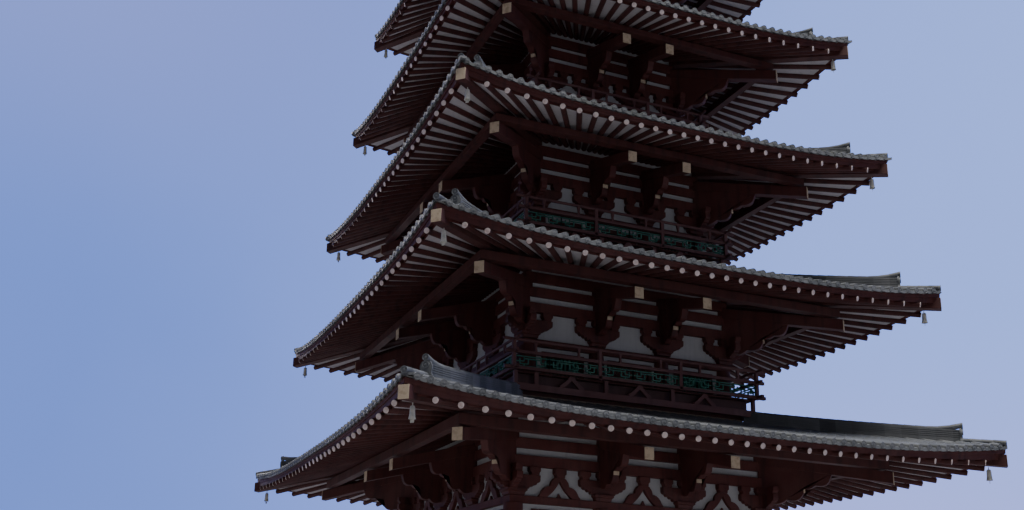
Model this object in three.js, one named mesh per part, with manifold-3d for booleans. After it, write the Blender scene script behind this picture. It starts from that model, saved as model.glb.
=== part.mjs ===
// A five-storey pagoda three bays square: stone podium, round columns, cloud-shaped brackets, fan rafters,
// tiled roofs with hip ridges and wind bells, railed balconies and a bronze spire with nine rings.
// Millimetres, +Z up. The origin is on the ground under the middle of the tower, and the front faces -Y.

import * as THREE from "three";
import { mergeVertices } from "three/addons/utils/BufferGeometryUtils.js";
import Module from "manifold-3d";

const wasm = await Module();
wasm.setup();

// Each storey: half width and height of its hip ends, column spacing, the radius and flats of its columns,
// the half width of the purlin that its tail rafters carry, its floor over the hip ends below it (over the
// ground for the first), and the height of its balcony rail.
const STOREYS = [
  { eave: 8370, hip: 6620, bay: 2540, column: 290, sides: 8, purlin: 6220, floorRise: 1150 },
  { eave: 7500, hip: 11090, bay: 2130, column: 265, sides: 6, purlin: 5500, floorRise: 2000, rail: 960 },
  { eave: 6730, hip: 15340, bay: 1775, column: 245, sides: 6, purlin: 4950, floorRise: 2000, rail: 960 },
  { eave: 6130, hip: 19420, bay: 1470, column: 225, sides: 6, purlin: 4450, floorRise: 1930, rail: 940 },
  { eave: 5660, hip: 23310, bay: 1250, column: 205, sides: 6, purlin: 4050, floorRise: 1800, rail: 900 },
];
const TOTAL_HEIGHT = 39200;
const GAP = 0.3; // between faces that touch
const LAP = 60; // that joined pieces run into each other
const CUT_PAST = 50; // that an opening's cut runs past both faces

// Podium and steps
const PODIUM = { half: 5850, height: 1150, course: 180, reach: 130 };
const STEPS = { half: 1500, cheek: 260, risers: 6, tread: 330 };

// Heights over the hip ends of the same storey, alike on all five
const WINDOW_TOP = -1660;
const HEAD_BEAM = [-1510, -1310];
const BLOCK_TOP = -960;
const ARM = [-960, -540];
const BRACKET_BEAM = [-540, -250];

// Walls and what is planted on them
const PLASTER_PROUD = 60; // plaster face beyond the column centres
const WALL_THICKNESS = 350;
const BEAM_DEPTH = 110;
const BRACKET_WIDTH = 240;
const ARM_LENGTH = 1400;
const ARM_SPACE = 200; // at least, between neighbouring arms
const BLOCK_WIDTH = [440, 600]; // foot and top
const SILL_HEIGHT = 60;
const WINDOW_SILL = 1350; // on the ground floor
const OPENING_WIDTH = { door: 0.86, window: 0.78 }; // of the clear width between columns
const DOOR = { jamb: 110, leaf: 70, setBack: 20, rebate: 60, play: 8, swing: 30 };
const UPPER_DOOR = { proud: 60, sunk: 90, hung: 20 };

// Eaves
const RAFTER = { depth: 160, endUnder: -390, wallUnder: 800 };
const CORNER_LIFT = { rafters: 270, tiles: 430 }; // the eave thickens towards its corners
const LIFT_POWER = 3;
const FASCIA_TOP = -105;
const BOARD = 100; // boards over the rafters at the wall
const WALL_TOP = RAFTER.wallUnder + RAFTER.depth + BOARD;
const HIP_RAFTER = { width: 270, height: 320, wallRise: 60 };
const TAIL_RAFTER = { height: 310, drop: 320, past: 170 };
const CLOUD = { nose: 0.36, shoulder: 0.58, step: 120 }; // shares of the way from wall to purlin, and mm
const PURLIN_WIDTH = 240;
const BELL = { inset: 320, top: -120, height: 460, radius: 105, crown: 0.6, hanger: 22 };
const EAVE_STATIONS = [-1, -0.75, 0, 0.75, 1]; // along a side, from corner to corner

// Tiled roofs
const TILE = { reach: 90, edgeTop: 50, wallRise: 1470, edgeSlope: 0.24, lip: 150 };
const TILE_STATIONS = [1, 0.66, 0.33, 0]; // up the slope, from the eave
const RIDGE = { width: 340, height: 390, inset: 740, tip: 90, low: 75, short: 60 };
const SPIRE_BASE = 26900;
const SPIRE_HALF = 780;
const ROOF_SHELL = 300;

// Floors and balconies
const TRAY = { thickness: 160, set: 105, skirt: 260, wide: 100 };
const BALCONY = { base: 325, seat: 1480, deck: 620, rail: 640, panel: 0.645, bar: 80, post: 110, bays: 3 };
const APRON = { front: 600, thickness: 80, foot: 1450 };
const DECK_THICKNESS = 80;
const BASE_THICKNESS = 100;

// Spire, from its base up
const BASIN = { body: 700, lipLow: 590, top: 740, lip: 90 };
const BASIN_TOP = SPIRE_BASE + BASIN.top;
const BOWL = { radius: 640, rise: 520, arc: 0.86, neck: 200, neckTop: 640 };
const LOTUS = { radius: 560, petal: 40, crown: 420 };
const BOWL_TOP = BASIN_TOP + 950;
const SHAFT = 105;
const SHAFT_TOP = TOTAL_HEIGHT - 1250;
const RINGS = { count: 9, first: BOWL_TOP + 800, pitch: 640, widest: 830, narrowest: 560, height: 150 };
const RING_GAP = { rim: 130, outer: 82, hub: 60 }; // the rim in mm, then degrees in each quarter
const FLAME = { low: RINGS.first + RINGS.count * RINGS.pitch - 120, high: SHAFT_TOP - 60, plate: 50 };
const FLAME_COLLAR = { radius: 150, below: 20, above: 160 };
const JEWELS = {
  foot: 150,
  lower: { radius: 270, rise: 330 },
  waist: { radius: 110, rise: 640 },
  upper: { radius: 240, rise: 860 },
  tip: 60,
};

const red = { color: 0x7c2a1c, roughness: 0.6, metalness: 0 };
const FINISH = {
  stone: { color: 0x9b968c, roughness: 0.9, metalness: 0 },
  timber: red,
  rafters: { ...red, color: 0x6d2418 },
  plaster: { color: 0xd9d8d2, roughness: 0.85, metalness: 0 },
  tile: { color: 0x4b4f51, roughness: 0.75, metalness: 0 },
  boards: { color: 0x8a6f52, roughness: 0.8, metalness: 0 },
  bronze: { color: 0x5e5a44, roughness: 0.45, metalness: 0.8 },
};

const GRID = 64; // coordinates keep to 1/64 mm, so that faces that meet share the same numbers

// Makes a solid for joining and cutting from a closed three.js geometry.
function solid(geometry) {
  const bare = geometry.clone();
  bare.deleteAttribute("normal");
  bare.deleteAttribute("uv");
  bare.attributes.position.array.forEach((value, i, all) => {
    all[i] = Math.round(value * GRID) / GRID;
  });
  const merged = mergeVertices(bare, 0.5 / GRID);
  return new wasm.Manifold(
    new wasm.Mesh({
      numProp: 3,
      vertProperties: merged.attributes.position.array,
      triVerts: new Uint32Array(merged.index.array),
    }),
  );
}

// Joins a list of solids into one.
function join(parts) {
  return parts.reduce((all, part) => all.add(part));
}

function box(x, y, z) {
  const size = [x, y, z].map(([low, high]) => high - low);
  const middle = [x, y, z].map(([low, high]) => (high + low) / 2);
  return solid(new THREE.BoxGeometry(...size).translate(...middle));
}

// A flat outline of [x, y] points raised along Z from low to high, less any holes of the same kind.
function prism(points, [low, high], holes = []) {
  const shape = new THREE.Shape(points.map(([x, y]) => new THREE.Vector2(x, y)));
  const options = { depth: high - low, bevelEnabled: false, curveSegments: 1 };
  const body = solid(new THREE.ExtrudeGeometry(shape, options).translate(0, 0, low));
  return holes.reduce((rest, hole) => rest.subtract(prism(hole, [low - 1, high + 1])), body);
}

// An outline of [distance from the axis, height] points, given a width and stood up along the -Y direction.
function upright(points, width) {
  return prism(points, [-width / 2, width / 2]).rotate([90, 0, -90]);
}

function round(radius, [low, high], sides) {
  const geometry = new THREE.CylinderGeometry(radius, radius, high - low, sides);
  geometry.rotateX(Math.PI / 2).rotateZ(Math.PI / sides).translate(0, 0, (low + high) / 2);
  return solid(geometry);
}

// A turned shape from [radius, height] points that start and end on the axis.
function turned(profile, sides) {
  const points = profile.map(([radius, height]) => new THREE.Vector2(radius, height));
  return solid(new THREE.LatheGeometry(points, sides).rotateX(Math.PI / 2));
}

function square(half) {
  return [
    [-half, -half],
    [half, -half],
    [half, half],
    [-half, half],
  ];
}

// A level square frame between two half widths.
function ring(inner, outer, heights) {
  return prism(square(outer), heights, [square(inner)]);
}

// Four copies of a solid, one on each side of the tower.
function fourSides(part) {
  return join([0, 90, 180, 270].map((angle) => part.rotate([0, 0, angle])));
}

// Cuts a flat outline into triangles that are wound as the outline is.
function capTriangles(outline) {
  const turn = Math.sign(THREE.ShapeUtils.area(outline));
  return THREE.ShapeUtils.triangulateShape(outline, []).map(([a, b, c]) => {
    const same = Math.sign(THREE.ShapeUtils.area([outline[a], outline[b], outline[c]])) === turn;
    return same ? [a, b, c] : [a, c, b];
  });
}

// The closed body through a row of outlines with the same number of points, which have their ends
// cut into triangles as they are seen along the axis "x" or "y".
function loft(outlines, seenAlong) {
  const count = outlines[0].length;
  const last = (outlines.length - 1) * count;
  const flat = (outline) => outline.map(([x, y, z]) => new THREE.Vector2(seenAlong === "x" ? y : x, z));
  let faces = capTriangles(flat(outlines[0]));
  faces.push(...capTriangles(flat(outlines.at(-1))).map(([a, b, c]) => [last + a, last + c, last + b]));
  outlines.slice(1).forEach((_, row) => {
    for (let i = 0; i < count; i += 1) {
      const here = row * count + i;
      const next = row * count + ((i + 1) % count);
      faces.push([next, here, here + count], [next, here + count, next + count]);
    }
  });
  const points = outlines.flat().map((point) => new THREE.Vector3(...point));
  const volume = faces.reduce((sum, [a, b, c]) => sum + points[a].dot(points[b].clone().cross(points[c])), 0);
  if (volume < 0) faces = faces.map(([a, b, c]) => [a, c, b]);
  const geometry = new THREE.BufferGeometry().setFromPoints(points);
  geometry.setIndex(faces.flat());
  return solid(geometry);
}

// What each storey's pieces are measured from, worked out from its driving sizes.
function layout(index) {
  const storey = STOREYS[index];
  const face = 1.5 * storey.bay + PLASTER_PROUD;
  const below = STOREYS[index - 1];
  const above = STOREYS[index + 1];
  const slope = (RAFTER.wallUnder - RAFTER.endUnder) / (storey.eave - face);
  return {
    ...storey,
    face,
    inside: face - WALL_THICKNESS,
    floor: (below ? below.hip : 0) + storey.floorRise,
    columns: [-1.5, -0.5, 0.5, 1.5].map((bays) => bays * storey.bay),
    slope,
    rafterUnder: (t) => storey.hip + RAFTER.endUnder + (storey.eave - t) * slope,
    roofInside: above ? 1.5 * above.bay + PLASTER_PROUD + BALCONY.base + GAP : SPIRE_HALF,
  };
}

// How far the eave rises at a share of the way from the middle of a side to its corner.
function lift(full, share) {
  return full * Math.abs(share) ** LIFT_POWER;
}

function podium() {
  const { half, height, course, reach } = PODIUM;
  return join([
    box([-half, half], [-half, half], [0, height]),
    box([-half - reach, half + reach], [-half - reach, half + reach], [0, course]),
    box([-half - reach, half + reach], [-half - reach, half + reach], [height - course, height]),
  ]);
}

// One flight of steps with a stone cheek on each side, against the podium's face that looks along -Y.
function flight() {
  const rise = PODIUM.height / STEPS.risers;
  const start = PODIUM.half + PODIUM.reach + GAP;
  const run = STEPS.tread * (STEPS.risers - 1);
  const profile = [
    [start, 0],
    [start + run, 0],
  ];
  for (let i = 1; i < STEPS.risers; i += 1) {
    const nosing = start + run - (i - 1) * STEPS.tread;
    profile.push([nosing, i * rise], [nosing - STEPS.tread, i * rise]);
  }
  const treads = upright(profile, 2 * STEPS.half);
  const cheek = upright(
    [
      [start, 0],
      [start + run + STEPS.tread, 0],
      [start + run + STEPS.tread, rise],
      [start + STEPS.tread / 2, PODIUM.height],
      [start, PODIUM.height],
    ],
    STEPS.cheek,
  );
  const side = STEPS.half + STEPS.cheek / 2 - 1;
  return join([treads, cheek.translate([-side, 0, 0]), cheek.translate([side, 0, 0])]);
}

// The places of the twelve columns of a storey.
function columnPlaces(storey) {
  const outer = Math.max(...storey.columns);
  return storey.columns.flatMap((x) =>
    storey.columns.filter((y) => Math.abs(x) === outer || Math.abs(y) === outer).map((y) => [x, y]),
  );
}

// Openings of one side of a storey: a door in the middle bay and a barred window in each side bay.
function wallOpenings(storey, index) {
  const clear = storey.bay - 2 * storey.column;
  const top = storey.hip + WINDOW_TOP;
  const door = { x: 0, width: clear * OPENING_WIDTH.door, low: storey.floor + SILL_HEIGHT, high: top };
  const sill = index ? storey.floor + 2 * SILL_HEIGHT : storey.floor + WINDOW_SILL;
  const window = { width: clear * OPENING_WIDTH.window, low: sill, high: top };
  return { door, windows: [-storey.bay, storey.bay].map((x) => ({ x, ...window })) };
}

// Cuts the windows and the doors out of a wall.
function cutWall(wall, storey, index) {
  const { door, windows } = wallOpenings(storey, index);
  const depth = [storey.inside - CUT_PAST, storey.face + CUT_PAST];
  const holes = [door, ...windows].map(({ x, width, low, high }) =>
    box([x - width / 2, x + width / 2], [-depth[1], -depth[0]], [low, high]),
  );
  return wall.subtract(fourSides(join(holes)));
}

// The ground storey's wall on one side, mitred at the corners.
function groundWall() {
  const storey = layout(0);
  const { face, inside, floor, hip } = storey;
  const plan = [
    [-face + GAP, -face],
    [face - GAP, -face],
    [inside - GAP, -inside],
    [-inside + GAP, -inside],
  ];
  return cutWall(prism(plan, [floor + GAP, hip + WALL_TOP]), storey, 0);
}

// The plaster walls of an upper storey, one square tube with its windows and doors.
function upperWalls(index) {
  const storey = layout(index);
  const { inside, face, floor, hip } = storey;
  return cutWall(ring(inside, face, [floor + GAP, hip + WALL_TOP]), storey, index);
}

// The frieze on one side of a storey: the beam over the columns, a bearing block and a cloud-shaped arm on
// each column, and the beam on the arms, with a bell-shaped gap of plaster in each bay.
function frieze(storey) {
  const { hip, bay, face } = storey;
  const planted = face + GAP;
  const end = planted + BEAM_DEPTH;
  const arm = Math.min(ARM_LENGTH, bay - ARM_SPACE) / 2;
  const low = hip + HEAD_BEAM[0];
  const high = hip + BRACKET_BEAM[1];
  const bell = [
    [bay / 2 - BLOCK_WIDTH[0] / 2, HEAD_BEAM[1]],
    [bay / 2 - BLOCK_WIDTH[1] / 2, BLOCK_TOP],
    [bay / 2 - arm, ARM[1]],
  ];
  const hole = (middle) =>
    [...bell, ...bell.map(([x, z]) => [-x, z]).reverse()].map(([x, z]) => [middle + x, hip + z]);
  const plate = prism(
    [
      [-end, low],
      [end, low],
      [end, high],
      [-end, high],
    ],
    [planted, end],
    [-bay, 0, bay].map(hole),
  );
  return plate.rotate([90, 0, 0]);
}

// The outline of a projecting cloud arm with the tail rafter that it carries, seen from the side.
// Distances run out from the tower's axis, and stretch is 1 square to a wall or more along a diagonal.
function tailOutline(storey, stretch) {
  const { hip, purlin, slope } = storey;
  const face = storey.face + GAP + 1;
  const end = purlin + TAIL_RAFTER.past;
  const middle = (t) => hip - TAIL_RAFTER.drop + (purlin - t) * slope;
  const under = (t) => middle(t) - TAIL_RAFTER.height / 2;
  const over = (t) => middle(t) + TAIL_RAFTER.height / 2;
  const reach = purlin - face;
  const nose = face + CLOUD.nose * reach;
  const upper = face + CLOUD.shoulder * reach;
  return [
    [face, hip + ARM[0]],
    [nose, hip + ARM[1] - CLOUD.step],
    [upper, under(upper)],
    [end, under(end)],
    [end, over(end)],
    [face, over(face)],
  ].map(([t, z]) => [t * stretch, z]);
}

// The half-round columns of one storey, planted on its walls.
function colonnade(index) {
  const storey = layout(index);
  const { hip, face, floor, column, sides } = storey;
  const planted = face + GAP;
  const columns = columnPlaces(storey).map(([x, y]) =>
    round(column, [floor + GAP, hip + HEAD_BEAM[0] + 1], sides).translate([x, y, 0]),
  );
  return join(columns).subtract(box([-planted, planted], [-planted, planted], [floor - GAP, hip]));
}

// The frieze of one storey with the cloud arms and tail rafters that stand out from it.
function brackets(index) {
  const storey = layout(index);
  const { bay } = storey;
  const tail = (stretch) => upright(tailOutline(storey, stretch), BRACKET_WIDTH);
  const side = [
    frieze(storey),
    tail(1).translate([-bay / 2, 0, 0]),
    tail(1).translate([bay / 2, 0, 0]),
    tail(Math.SQRT2).rotate([0, 0, 45]),
  ];
  return fourSides(join(side));
}

// The heights on the ground storey from the feet of the arms up, which only the columns' heads stay under.
function fromArmsUp() {
  const { eave, hip } = layout(0);
  return box([-eave, eave], [-eave, eave], [hip + ARM[0], hip + WALL_TOP]);
}

// The ground storey's columns with the beam and the blocks on them.
function groundColumns() {
  return colonnade(0).add(fourSides(frieze(layout(0)))).subtract(fromArmsUp());
}

// The brackets and tail rafters of one storey, with the columns and the closed doors of an upper one.
function frame(index) {
  if (index === 0) return brackets(0).intersect(fromArmsUp().translate([0, 0, GAP]));
  return colonnade(index).add(brackets(index)).add(fourSides(closedDoor(layout(index), index)));
}

// A closed upper door, one panel in its opening that hangs from the beam over the columns.
function closedDoor(storey, index) {
  const { door } = wallOpenings(storey, index);
  const { face, hip } = storey;
  const { proud, sunk, hung } = UPPER_DOOR;
  const half = door.width / 2 - 1;
  const panel = box([-half, half], [-face - proud, -face + sunk], [door.low + 1, door.high - 1]);
  const hangerHeights = [door.high - hung, hip + HEAD_BEAM[0] + hung];
  const hanger = box([-half, half], [-face - proud, -face - GAP], hangerHeights);
  return panel.add(hanger);
}

// A ground-floor doorway: jambs, head and threshold with two leaves, closed or swung in.
function doorway(open) {
  const storey = layout(0);
  const { door } = wallOpenings(storey, 0);
  const { jamb, leaf, setBack, rebate, play, swing } = DOOR;
  const half = door.width / 2 - GAP;
  const outer = storey.face - setBack;
  const inner = storey.inside + setBack;
  const low = door.low + GAP;
  const high = door.high - GAP;
  const way = half - jamb;
  const wayHeights = [low + jamb / 2, high - jamb];
  const casing = box([-half, half], [-outer, -inner], [low, high]);
  const cut = box([-way, way], [-outer - CUT_PAST, -inner + CUT_PAST], wayHeights);
  const frameOnly = casing.subtract(cut);
  if (!open) {
    const depth = [rebate - outer, rebate - outer + leaf];
    return frameOnly.add(box([-way - 1, way + 1], depth, [wayHeights[0] - 1, wayHeights[1] + 1]));
  }
  const back = -inner - swing;
  const heights = [wayHeights[0] + play, wayHeights[1] - play];
  const leaves = [
    [-way - 1, -way + leaf],
    [way - leaf, way + 1],
  ].map((across) => box(across, [back - leaf, back - leaf + way - play], heights));
  return join([frameOnly, ...leaves]);
}

// The boards over the rafters of one side and the fascia at their ends, mitred on the diagonals.
function eaveSide(index) {
  const { eave, hip, face } = layout(index);
  const inner = face + GAP;
  const outlines = EAVE_STATIONS.map((u) => {
    return [
      [u * inner, -inner, hip + RAFTER.wallUnder],
      [u * eave, -eave, hip + RAFTER.endUnder + lift(CORNER_LIFT.rafters, u)],
      [u * eave, -eave, hip + FASCIA_TOP + lift(CORNER_LIFT.tiles, u)],
      [u * inner, -inner, hip + RAFTER.wallUnder + RAFTER.depth + BOARD],
    ];
  });
  return loft(outlines, "x");
}

// A hip rafter along one diagonal, and the wind bell under its end.
function hipRafter(index) {
  const { eave, hip, face } = layout(index);
  const inner = face + GAP + 1;
  const half = HIP_RAFTER.height / 2;
  const wallMiddle = hip + RAFTER.wallUnder + RAFTER.depth - half + HIP_RAFTER.wallRise;
  const outline = [
    [inner * Math.SQRT2, wallMiddle - half],
    [eave * Math.SQRT2, hip - half],
    [eave * Math.SQRT2, hip + half],
    [inner * Math.SQRT2, wallMiddle + half],
  ];
  const beam = upright(outline, HIP_RAFTER.width);
  const top = hip + BELL.top;
  const bell = turned(
    [
      [0, top - BELL.height],
      [BELL.radius, top - BELL.height],
      [BELL.radius * BELL.crown, top - BELL.height * 0.3],
      [BELL.hanger, top - BELL.height * 0.25],
      [BELL.hanger, top + LAP],
      [0, top + LAP],
    ],
    4,
  );
  return beam.add(bell.translate([0, -(eave - BELL.inset) * Math.SQRT2, 0])).rotate([0, 0, 45]);
}

// The boarded eaves of one roof, with the purlin under them, the hip rafters and the wind bells.
function eaves(index) {
  const { face, hip, purlin, slope, rafterUnder } = layout(index);
  const core = box([-face - GAP, face + GAP], [-face - GAP, face + GAP], [0, TOTAL_HEIGHT]);
  const back = PURLIN_WIDTH / 2 + BRACKET_WIDTH / 2 / Math.SQRT2;
  const seat = hip - TAIL_RAFTER.drop + TAIL_RAFTER.height / 2 + slope * back + 2 * GAP;
  const outer = purlin + PURLIN_WIDTH / 2;
  const purlins = ring(outer - PURLIN_WIDTH, outer, [seat, rafterUnder(outer) + LAP]);
  const hips = fourSides(hipRafter(index)).subtract(core);
  return fourSides(eaveSide(index)).add(hips).add(purlins);
}

// Height of the tiles over the hip ends, at a distance from the axis on the middle of a side.
function tileHeight(index, t) {
  const { eave, hip, roofInside } = layout(index);
  const edge = eave + TILE.reach;
  const span = edge - roofInside;
  const top = index === STOREYS.length - 1 ? SPIRE_BASE - hip : TILE.wallRise;
  const curve = (top - TILE.edgeTop - TILE.edgeSlope * span) / span ** 2;
  const out = edge - t;
  return TILE.edgeTop + TILE.edgeSlope * out + curve * out ** 2;
}

// One side of the tiled roof, thick from the boards to the tiles' tops, mitred on the diagonals.
function roofSide(index) {
  const { eave, hip, face, roofInside } = layout(index);
  const edge = eave + TILE.reach;
  const isTop = index === STOREYS.length - 1;
  const tiles = TILE_STATIONS
    .map((v) => edge + (roofInside - edge) * v)
    .map((t) => [t, tileHeight(index, t)]);
  const under = isTop
    ? [
        [face, tileHeight(index, face) - ROOF_SHELL],
        [roofInside, SPIRE_BASE - hip - ROOF_SHELL],
      ]
    : [[roofInside, WALL_TOP + TILE.lip]];
  const boards = [
    [edge, FASCIA_TOP + GAP],
    [eave, FASCIA_TOP + GAP],
    [face + GAP, WALL_TOP + GAP],
  ];
  const outline = [...boards, ...under, ...tiles];
  const outlines = EAVE_STATIONS.map((u) =>
    outline.map(([t, z]) => {
      const rise = Math.max(0, (t - face - GAP) / (eave - face - GAP)) * lift(CORNER_LIFT.tiles, u);
      return [u * t, -t, hip + z + rise];
    }),
  );
  return loft(outlines, "x");
}

// A hip ridge down one diagonal, ending in an upturned tip, with a lower ridge out to the corner.
function hipRidge(index) {
  const { eave, hip, face, roofInside } = layout(index);
  const raise = (t) => CORNER_LIFT.tiles * Math.max(0, (t - face) / (eave - face));
  const tiles = (t) => hip + tileHeight(index, t) + raise(t);
  const isTop = index === STOREYS.length - 1;
  const start = isTop ? roofInside + 1 : roofInside + BALCONY.rail - BALCONY.base + BALCONY.bar;
  const end = eave - RIDGE.inset;
  const mid = (start + end) / 2;
  const tip = eave - RIDGE.short;
  const outline = [
    [tip, tiles(tip) - LAP],
    [tip, tiles(tip) + RIDGE.low],
    [end, tiles(end) + RIDGE.low],
    [end, tiles(end) + RIDGE.height + RIDGE.tip],
    [mid, tiles(mid) + RIDGE.height],
    [start, tiles(start) + RIDGE.height],
    [start, tiles(start) - LAP],
    [mid, tiles(mid) - LAP],
    [end, tiles(end) - LAP],
  ].map(([t, z]) => [t * Math.SQRT2, z]);
  return upright(outline, RIDGE.width).rotate([0, 0, 45]);
}

function roof(index) {
  return fourSides(roofSide(index)).add(fourSides(hipRidge(index)));
}

// The floor of an upper storey, with the stepped skirt that carries it on the wall below.
function floorTray(index) {
  const { face, floor } = layout(index);
  const { hip } = layout(index - 1);
  const outer = face + BALCONY.base;
  const half = outer - TRAY.set;
  const under = floor - TRAY.thickness;
  const seat = hip + WALL_TOP + GAP;
  return join([
    box([-half, half], [-half, half], [under, floor]),
    ring(half - TRAY.skirt, half, [seat, under + 1]),
    ring(half - TRAY.skirt, half + TRAY.wide, [seat, hip + BALCONY.seat]),
  ]);
}

// A balcony: its plastered base on the roof, its deck with the strutted apron under its edge, and a railing
// with a fret panel under its middle rail.
function balcony(index) {
  const storey = layout(index);
  const { face, floor, column } = storey;
  const outer = face + BALCONY.base;
  const roofHip = layout(index - 1).hip;
  const rail = face + BALCONY.rail;
  const high = floor + storey.rail;
  const columnFace = face - PLASTER_PROUD + column;
  const deckTop = floor + DECK_THICKNESS;
  const deck = ring(columnFace + 5, face + BALCONY.deck, [floor + GAP, deckTop]);
  const base = ring(outer - BASE_THICKNESS, outer, [roofHip + BALCONY.seat + GAP, deckTop - 25]);
  const front = face + APRON.front;
  const apron = ring(front - APRON.thickness, front, [roofHip + APRON.foot, deckTop - 25]);
  const span = (2 * rail) / BALCONY.bays;
  const reach = rail + BALCONY.post;
  const gaps = Array.from({ length: BALCONY.bays }, (_, i) => {
    const left = -rail + i * span + BALCONY.post / 2;
    const across = [left, left + span - BALCONY.post];
    return box(across, [-reach, reach], [floor + BALCONY.panel * storey.rail, high - BALCONY.bar]);
  });
  const gap = join(gaps);
  const railing = ring(rail - BALCONY.bar / 2, rail + BALCONY.bar / 2, [deckTop - 40, high])
    .subtract(gap)
    .subtract(gap.rotate([0, 0, 90]));
  return join([deck, base, apron, railing]);
}

// Points of an arc about the origin between two angles in degrees.
function arc(radius, from, to, steps) {
  return Array.from({ length: steps + 1 }, (_, i) => {
    const turn = THREE.MathUtils.degToRad(from + ((to - from) * i) / steps);
    return [radius * Math.cos(turn), radius * Math.sin(turn)];
  });
}

// The square dew basin that closes the top roof.
function dewBasin() {
  const low = SPIRE_BASE;
  const half = SPIRE_HALF;
  const lip = SPIRE_HALF + BASIN.lip;
  return join([
    box([-half, half], [-half, half], [low + GAP, low + BASIN.body]),
    box([-lip, lip], [-lip, lip], [low + BASIN.lipLow, BASIN_TOP]),
  ]);
}

// The inverted bowl with the lotus over it.
function invertedBowl() {
  const low = BASIN_TOP + GAP;
  const dome = arc(1, 0, 90 * BOWL.arc, 5).map(([x, z]) => [BOWL.radius * x, low + BOWL.rise * z]);
  const lotus = [
    [BOWL.neck, low + BOWL.neckTop],
    [LOTUS.radius, BOWL_TOP - LOTUS.petal],
    [LOTUS.crown, BOWL_TOP],
    [0, BOWL_TOP],
  ];
  return turned([[0, low], ...dome, ...lotus], 16);
}

// The shaft with its nine rings, each cut through between four spokes.
function ringShaft() {
  const hub = 2.2 * SHAFT;
  const ringPlate = (_, i) => {
    const radius = RINGS.widest + ((RINGS.narrowest - RINGS.widest) * i) / (RINGS.count - 1);
    const low = RINGS.first + i * RINGS.pitch;
    const gaps = [0, 90, 180, 270].map((turn) => [
      ...arc(radius - RING_GAP.rim, turn + 90 - RING_GAP.outer, turn + RING_GAP.outer, 1),
      ...arc(hub, turn + RING_GAP.hub, turn + 90 - RING_GAP.hub, 1),
    ]);
    return prism(arc(radius, 0, 315, 7), [low, low + RINGS.height], gaps);
  };
  const rings = Array.from({ length: RINGS.count }, ringPlate);
  return join([round(SHAFT, [BOWL_TOP + GAP, SHAFT_TOP], 8), ...rings]);
}

// The openwork flame on the shaft: four plates with a scalloped edge.
function waterFlame() {
  const { low, high, plate } = FLAME;
  const edge = [
    [SHAFT - 5, 0],
    [430, 0.1],
    [360, 0.22],
    [560, 0.36],
    [430, 0.48],
    [540, 0.6],
    [360, 0.72],
    [330, 0.86],
    [150, 1],
    [SHAFT - 5, 1],
  ].map(([t, v]) => [t, low + v * (high - low)]);
  const collar = round(FLAME_COLLAR.radius, [low - FLAME_COLLAR.below, low + FLAME_COLLAR.above], 8);
  const bore = round(SHAFT + GAP, [low - 2 * FLAME_COLLAR.below, SHAFT_TOP], 8);
  return fourSides(upright(edge, plate)).add(collar).subtract(bore);
}

// The dragon jewel and the flaming jewel at the top.
function jewels() {
  const low = SHAFT_TOP + GAP;
  const { foot, lower, waist, upper, tip } = JEWELS;
  const ball = ({ radius, rise }, from, to) => arc(radius, from, to, 4).map(([r, z]) => [r, low + rise + z]);
  const profile = [
    [0, low],
    [foot, low],
    ...ball(lower, -52, 52),
    [waist.radius, low + waist.rise],
    ...ball(upper, -52, 34),
    [tip, TOTAL_HEIGHT - tip],
    [0, TOTAL_HEIGHT],
  ];
  return turned(profile, 12);
}

const pagoda = new THREE.Group();

// Adds one named mesh, turned about the tower's axis by a number of degrees.
function place(name, shape, finish, angle = 0) {
  const { numProp, vertProperties, triVerts } = shape.getMesh();
  const geometry = new THREE.BufferGeometry();
  const position = new THREE.BufferAttribute(new Float32Array(vertProperties), numProp);
  geometry.setAttribute("position", position);
  geometry.setIndex(new THREE.BufferAttribute(triVerts, 1));
  geometry.computeVertexNormals();
  const mesh = new THREE.Mesh(geometry, new THREE.MeshStandardMaterial(FINISH[finish]));
  mesh.name = name;
  mesh.rotation.z = THREE.MathUtils.degToRad(angle);
  pagoda.add(mesh);
}

const SIDES = { south: 0, east: 90, north: 180, west: 270 };

place("podium", podium(), "stone");
for (const [side, angle] of Object.entries(SIDES)) {
  place(`${side}_steps`, flight(), "stone", angle);
  place(`${side}_wall`, groundWall(), "plaster", angle);
  place(`${side}_door`, doorway(side === "south"), "timber", angle);
}
STOREYS.forEach((_, index) => {
  const number = index + 1;
  if (index > 0) {
    place(`floor_${number}`, floorTray(index), "boards");
    place(`walls_${number}`, upperWalls(index), "plaster");
    place(`balcony_${number}`, balcony(index), "timber");
  }
  if (index === 0) place("ground_columns", groundColumns(), "timber");
  place(`frame_${number}`, frame(index), "timber");
  place(`eaves_${number}`, eaves(index), "rafters");
  place(`roof_${number}`, roof(index), "tile");
});
place("dew_basin", dewBasin(), "bronze");
place("inverted_bowl", invertedBowl(), "bronze");
place("ring_shaft", ringShaft(), "bronze");
place("water_flame", waterFlame(), "bronze");
place("jewels", jewels(), "bronze");

export default pagoda;
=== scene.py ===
"""Dresses a five-storey pagoda: painted timber, plaster, clay tiles, fan rafters and a bronze spire.

Metres, +Z up, and the front looks along -Y. What repeats on the four sides is built once, facing -Y, and then
turned about the tower's axis. A method that takes a shape adds to it. A place on a side is given by t, its
distance from the axis, and u, its share of the way from the middle of the side to the corner.
"""

import logging
import math
from collections.abc import Callable, Sequence
from dataclasses import dataclass
from enum import Enum

import bmesh
import bpy
import numpy as np
from mathutils import Matrix, Vector


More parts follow.
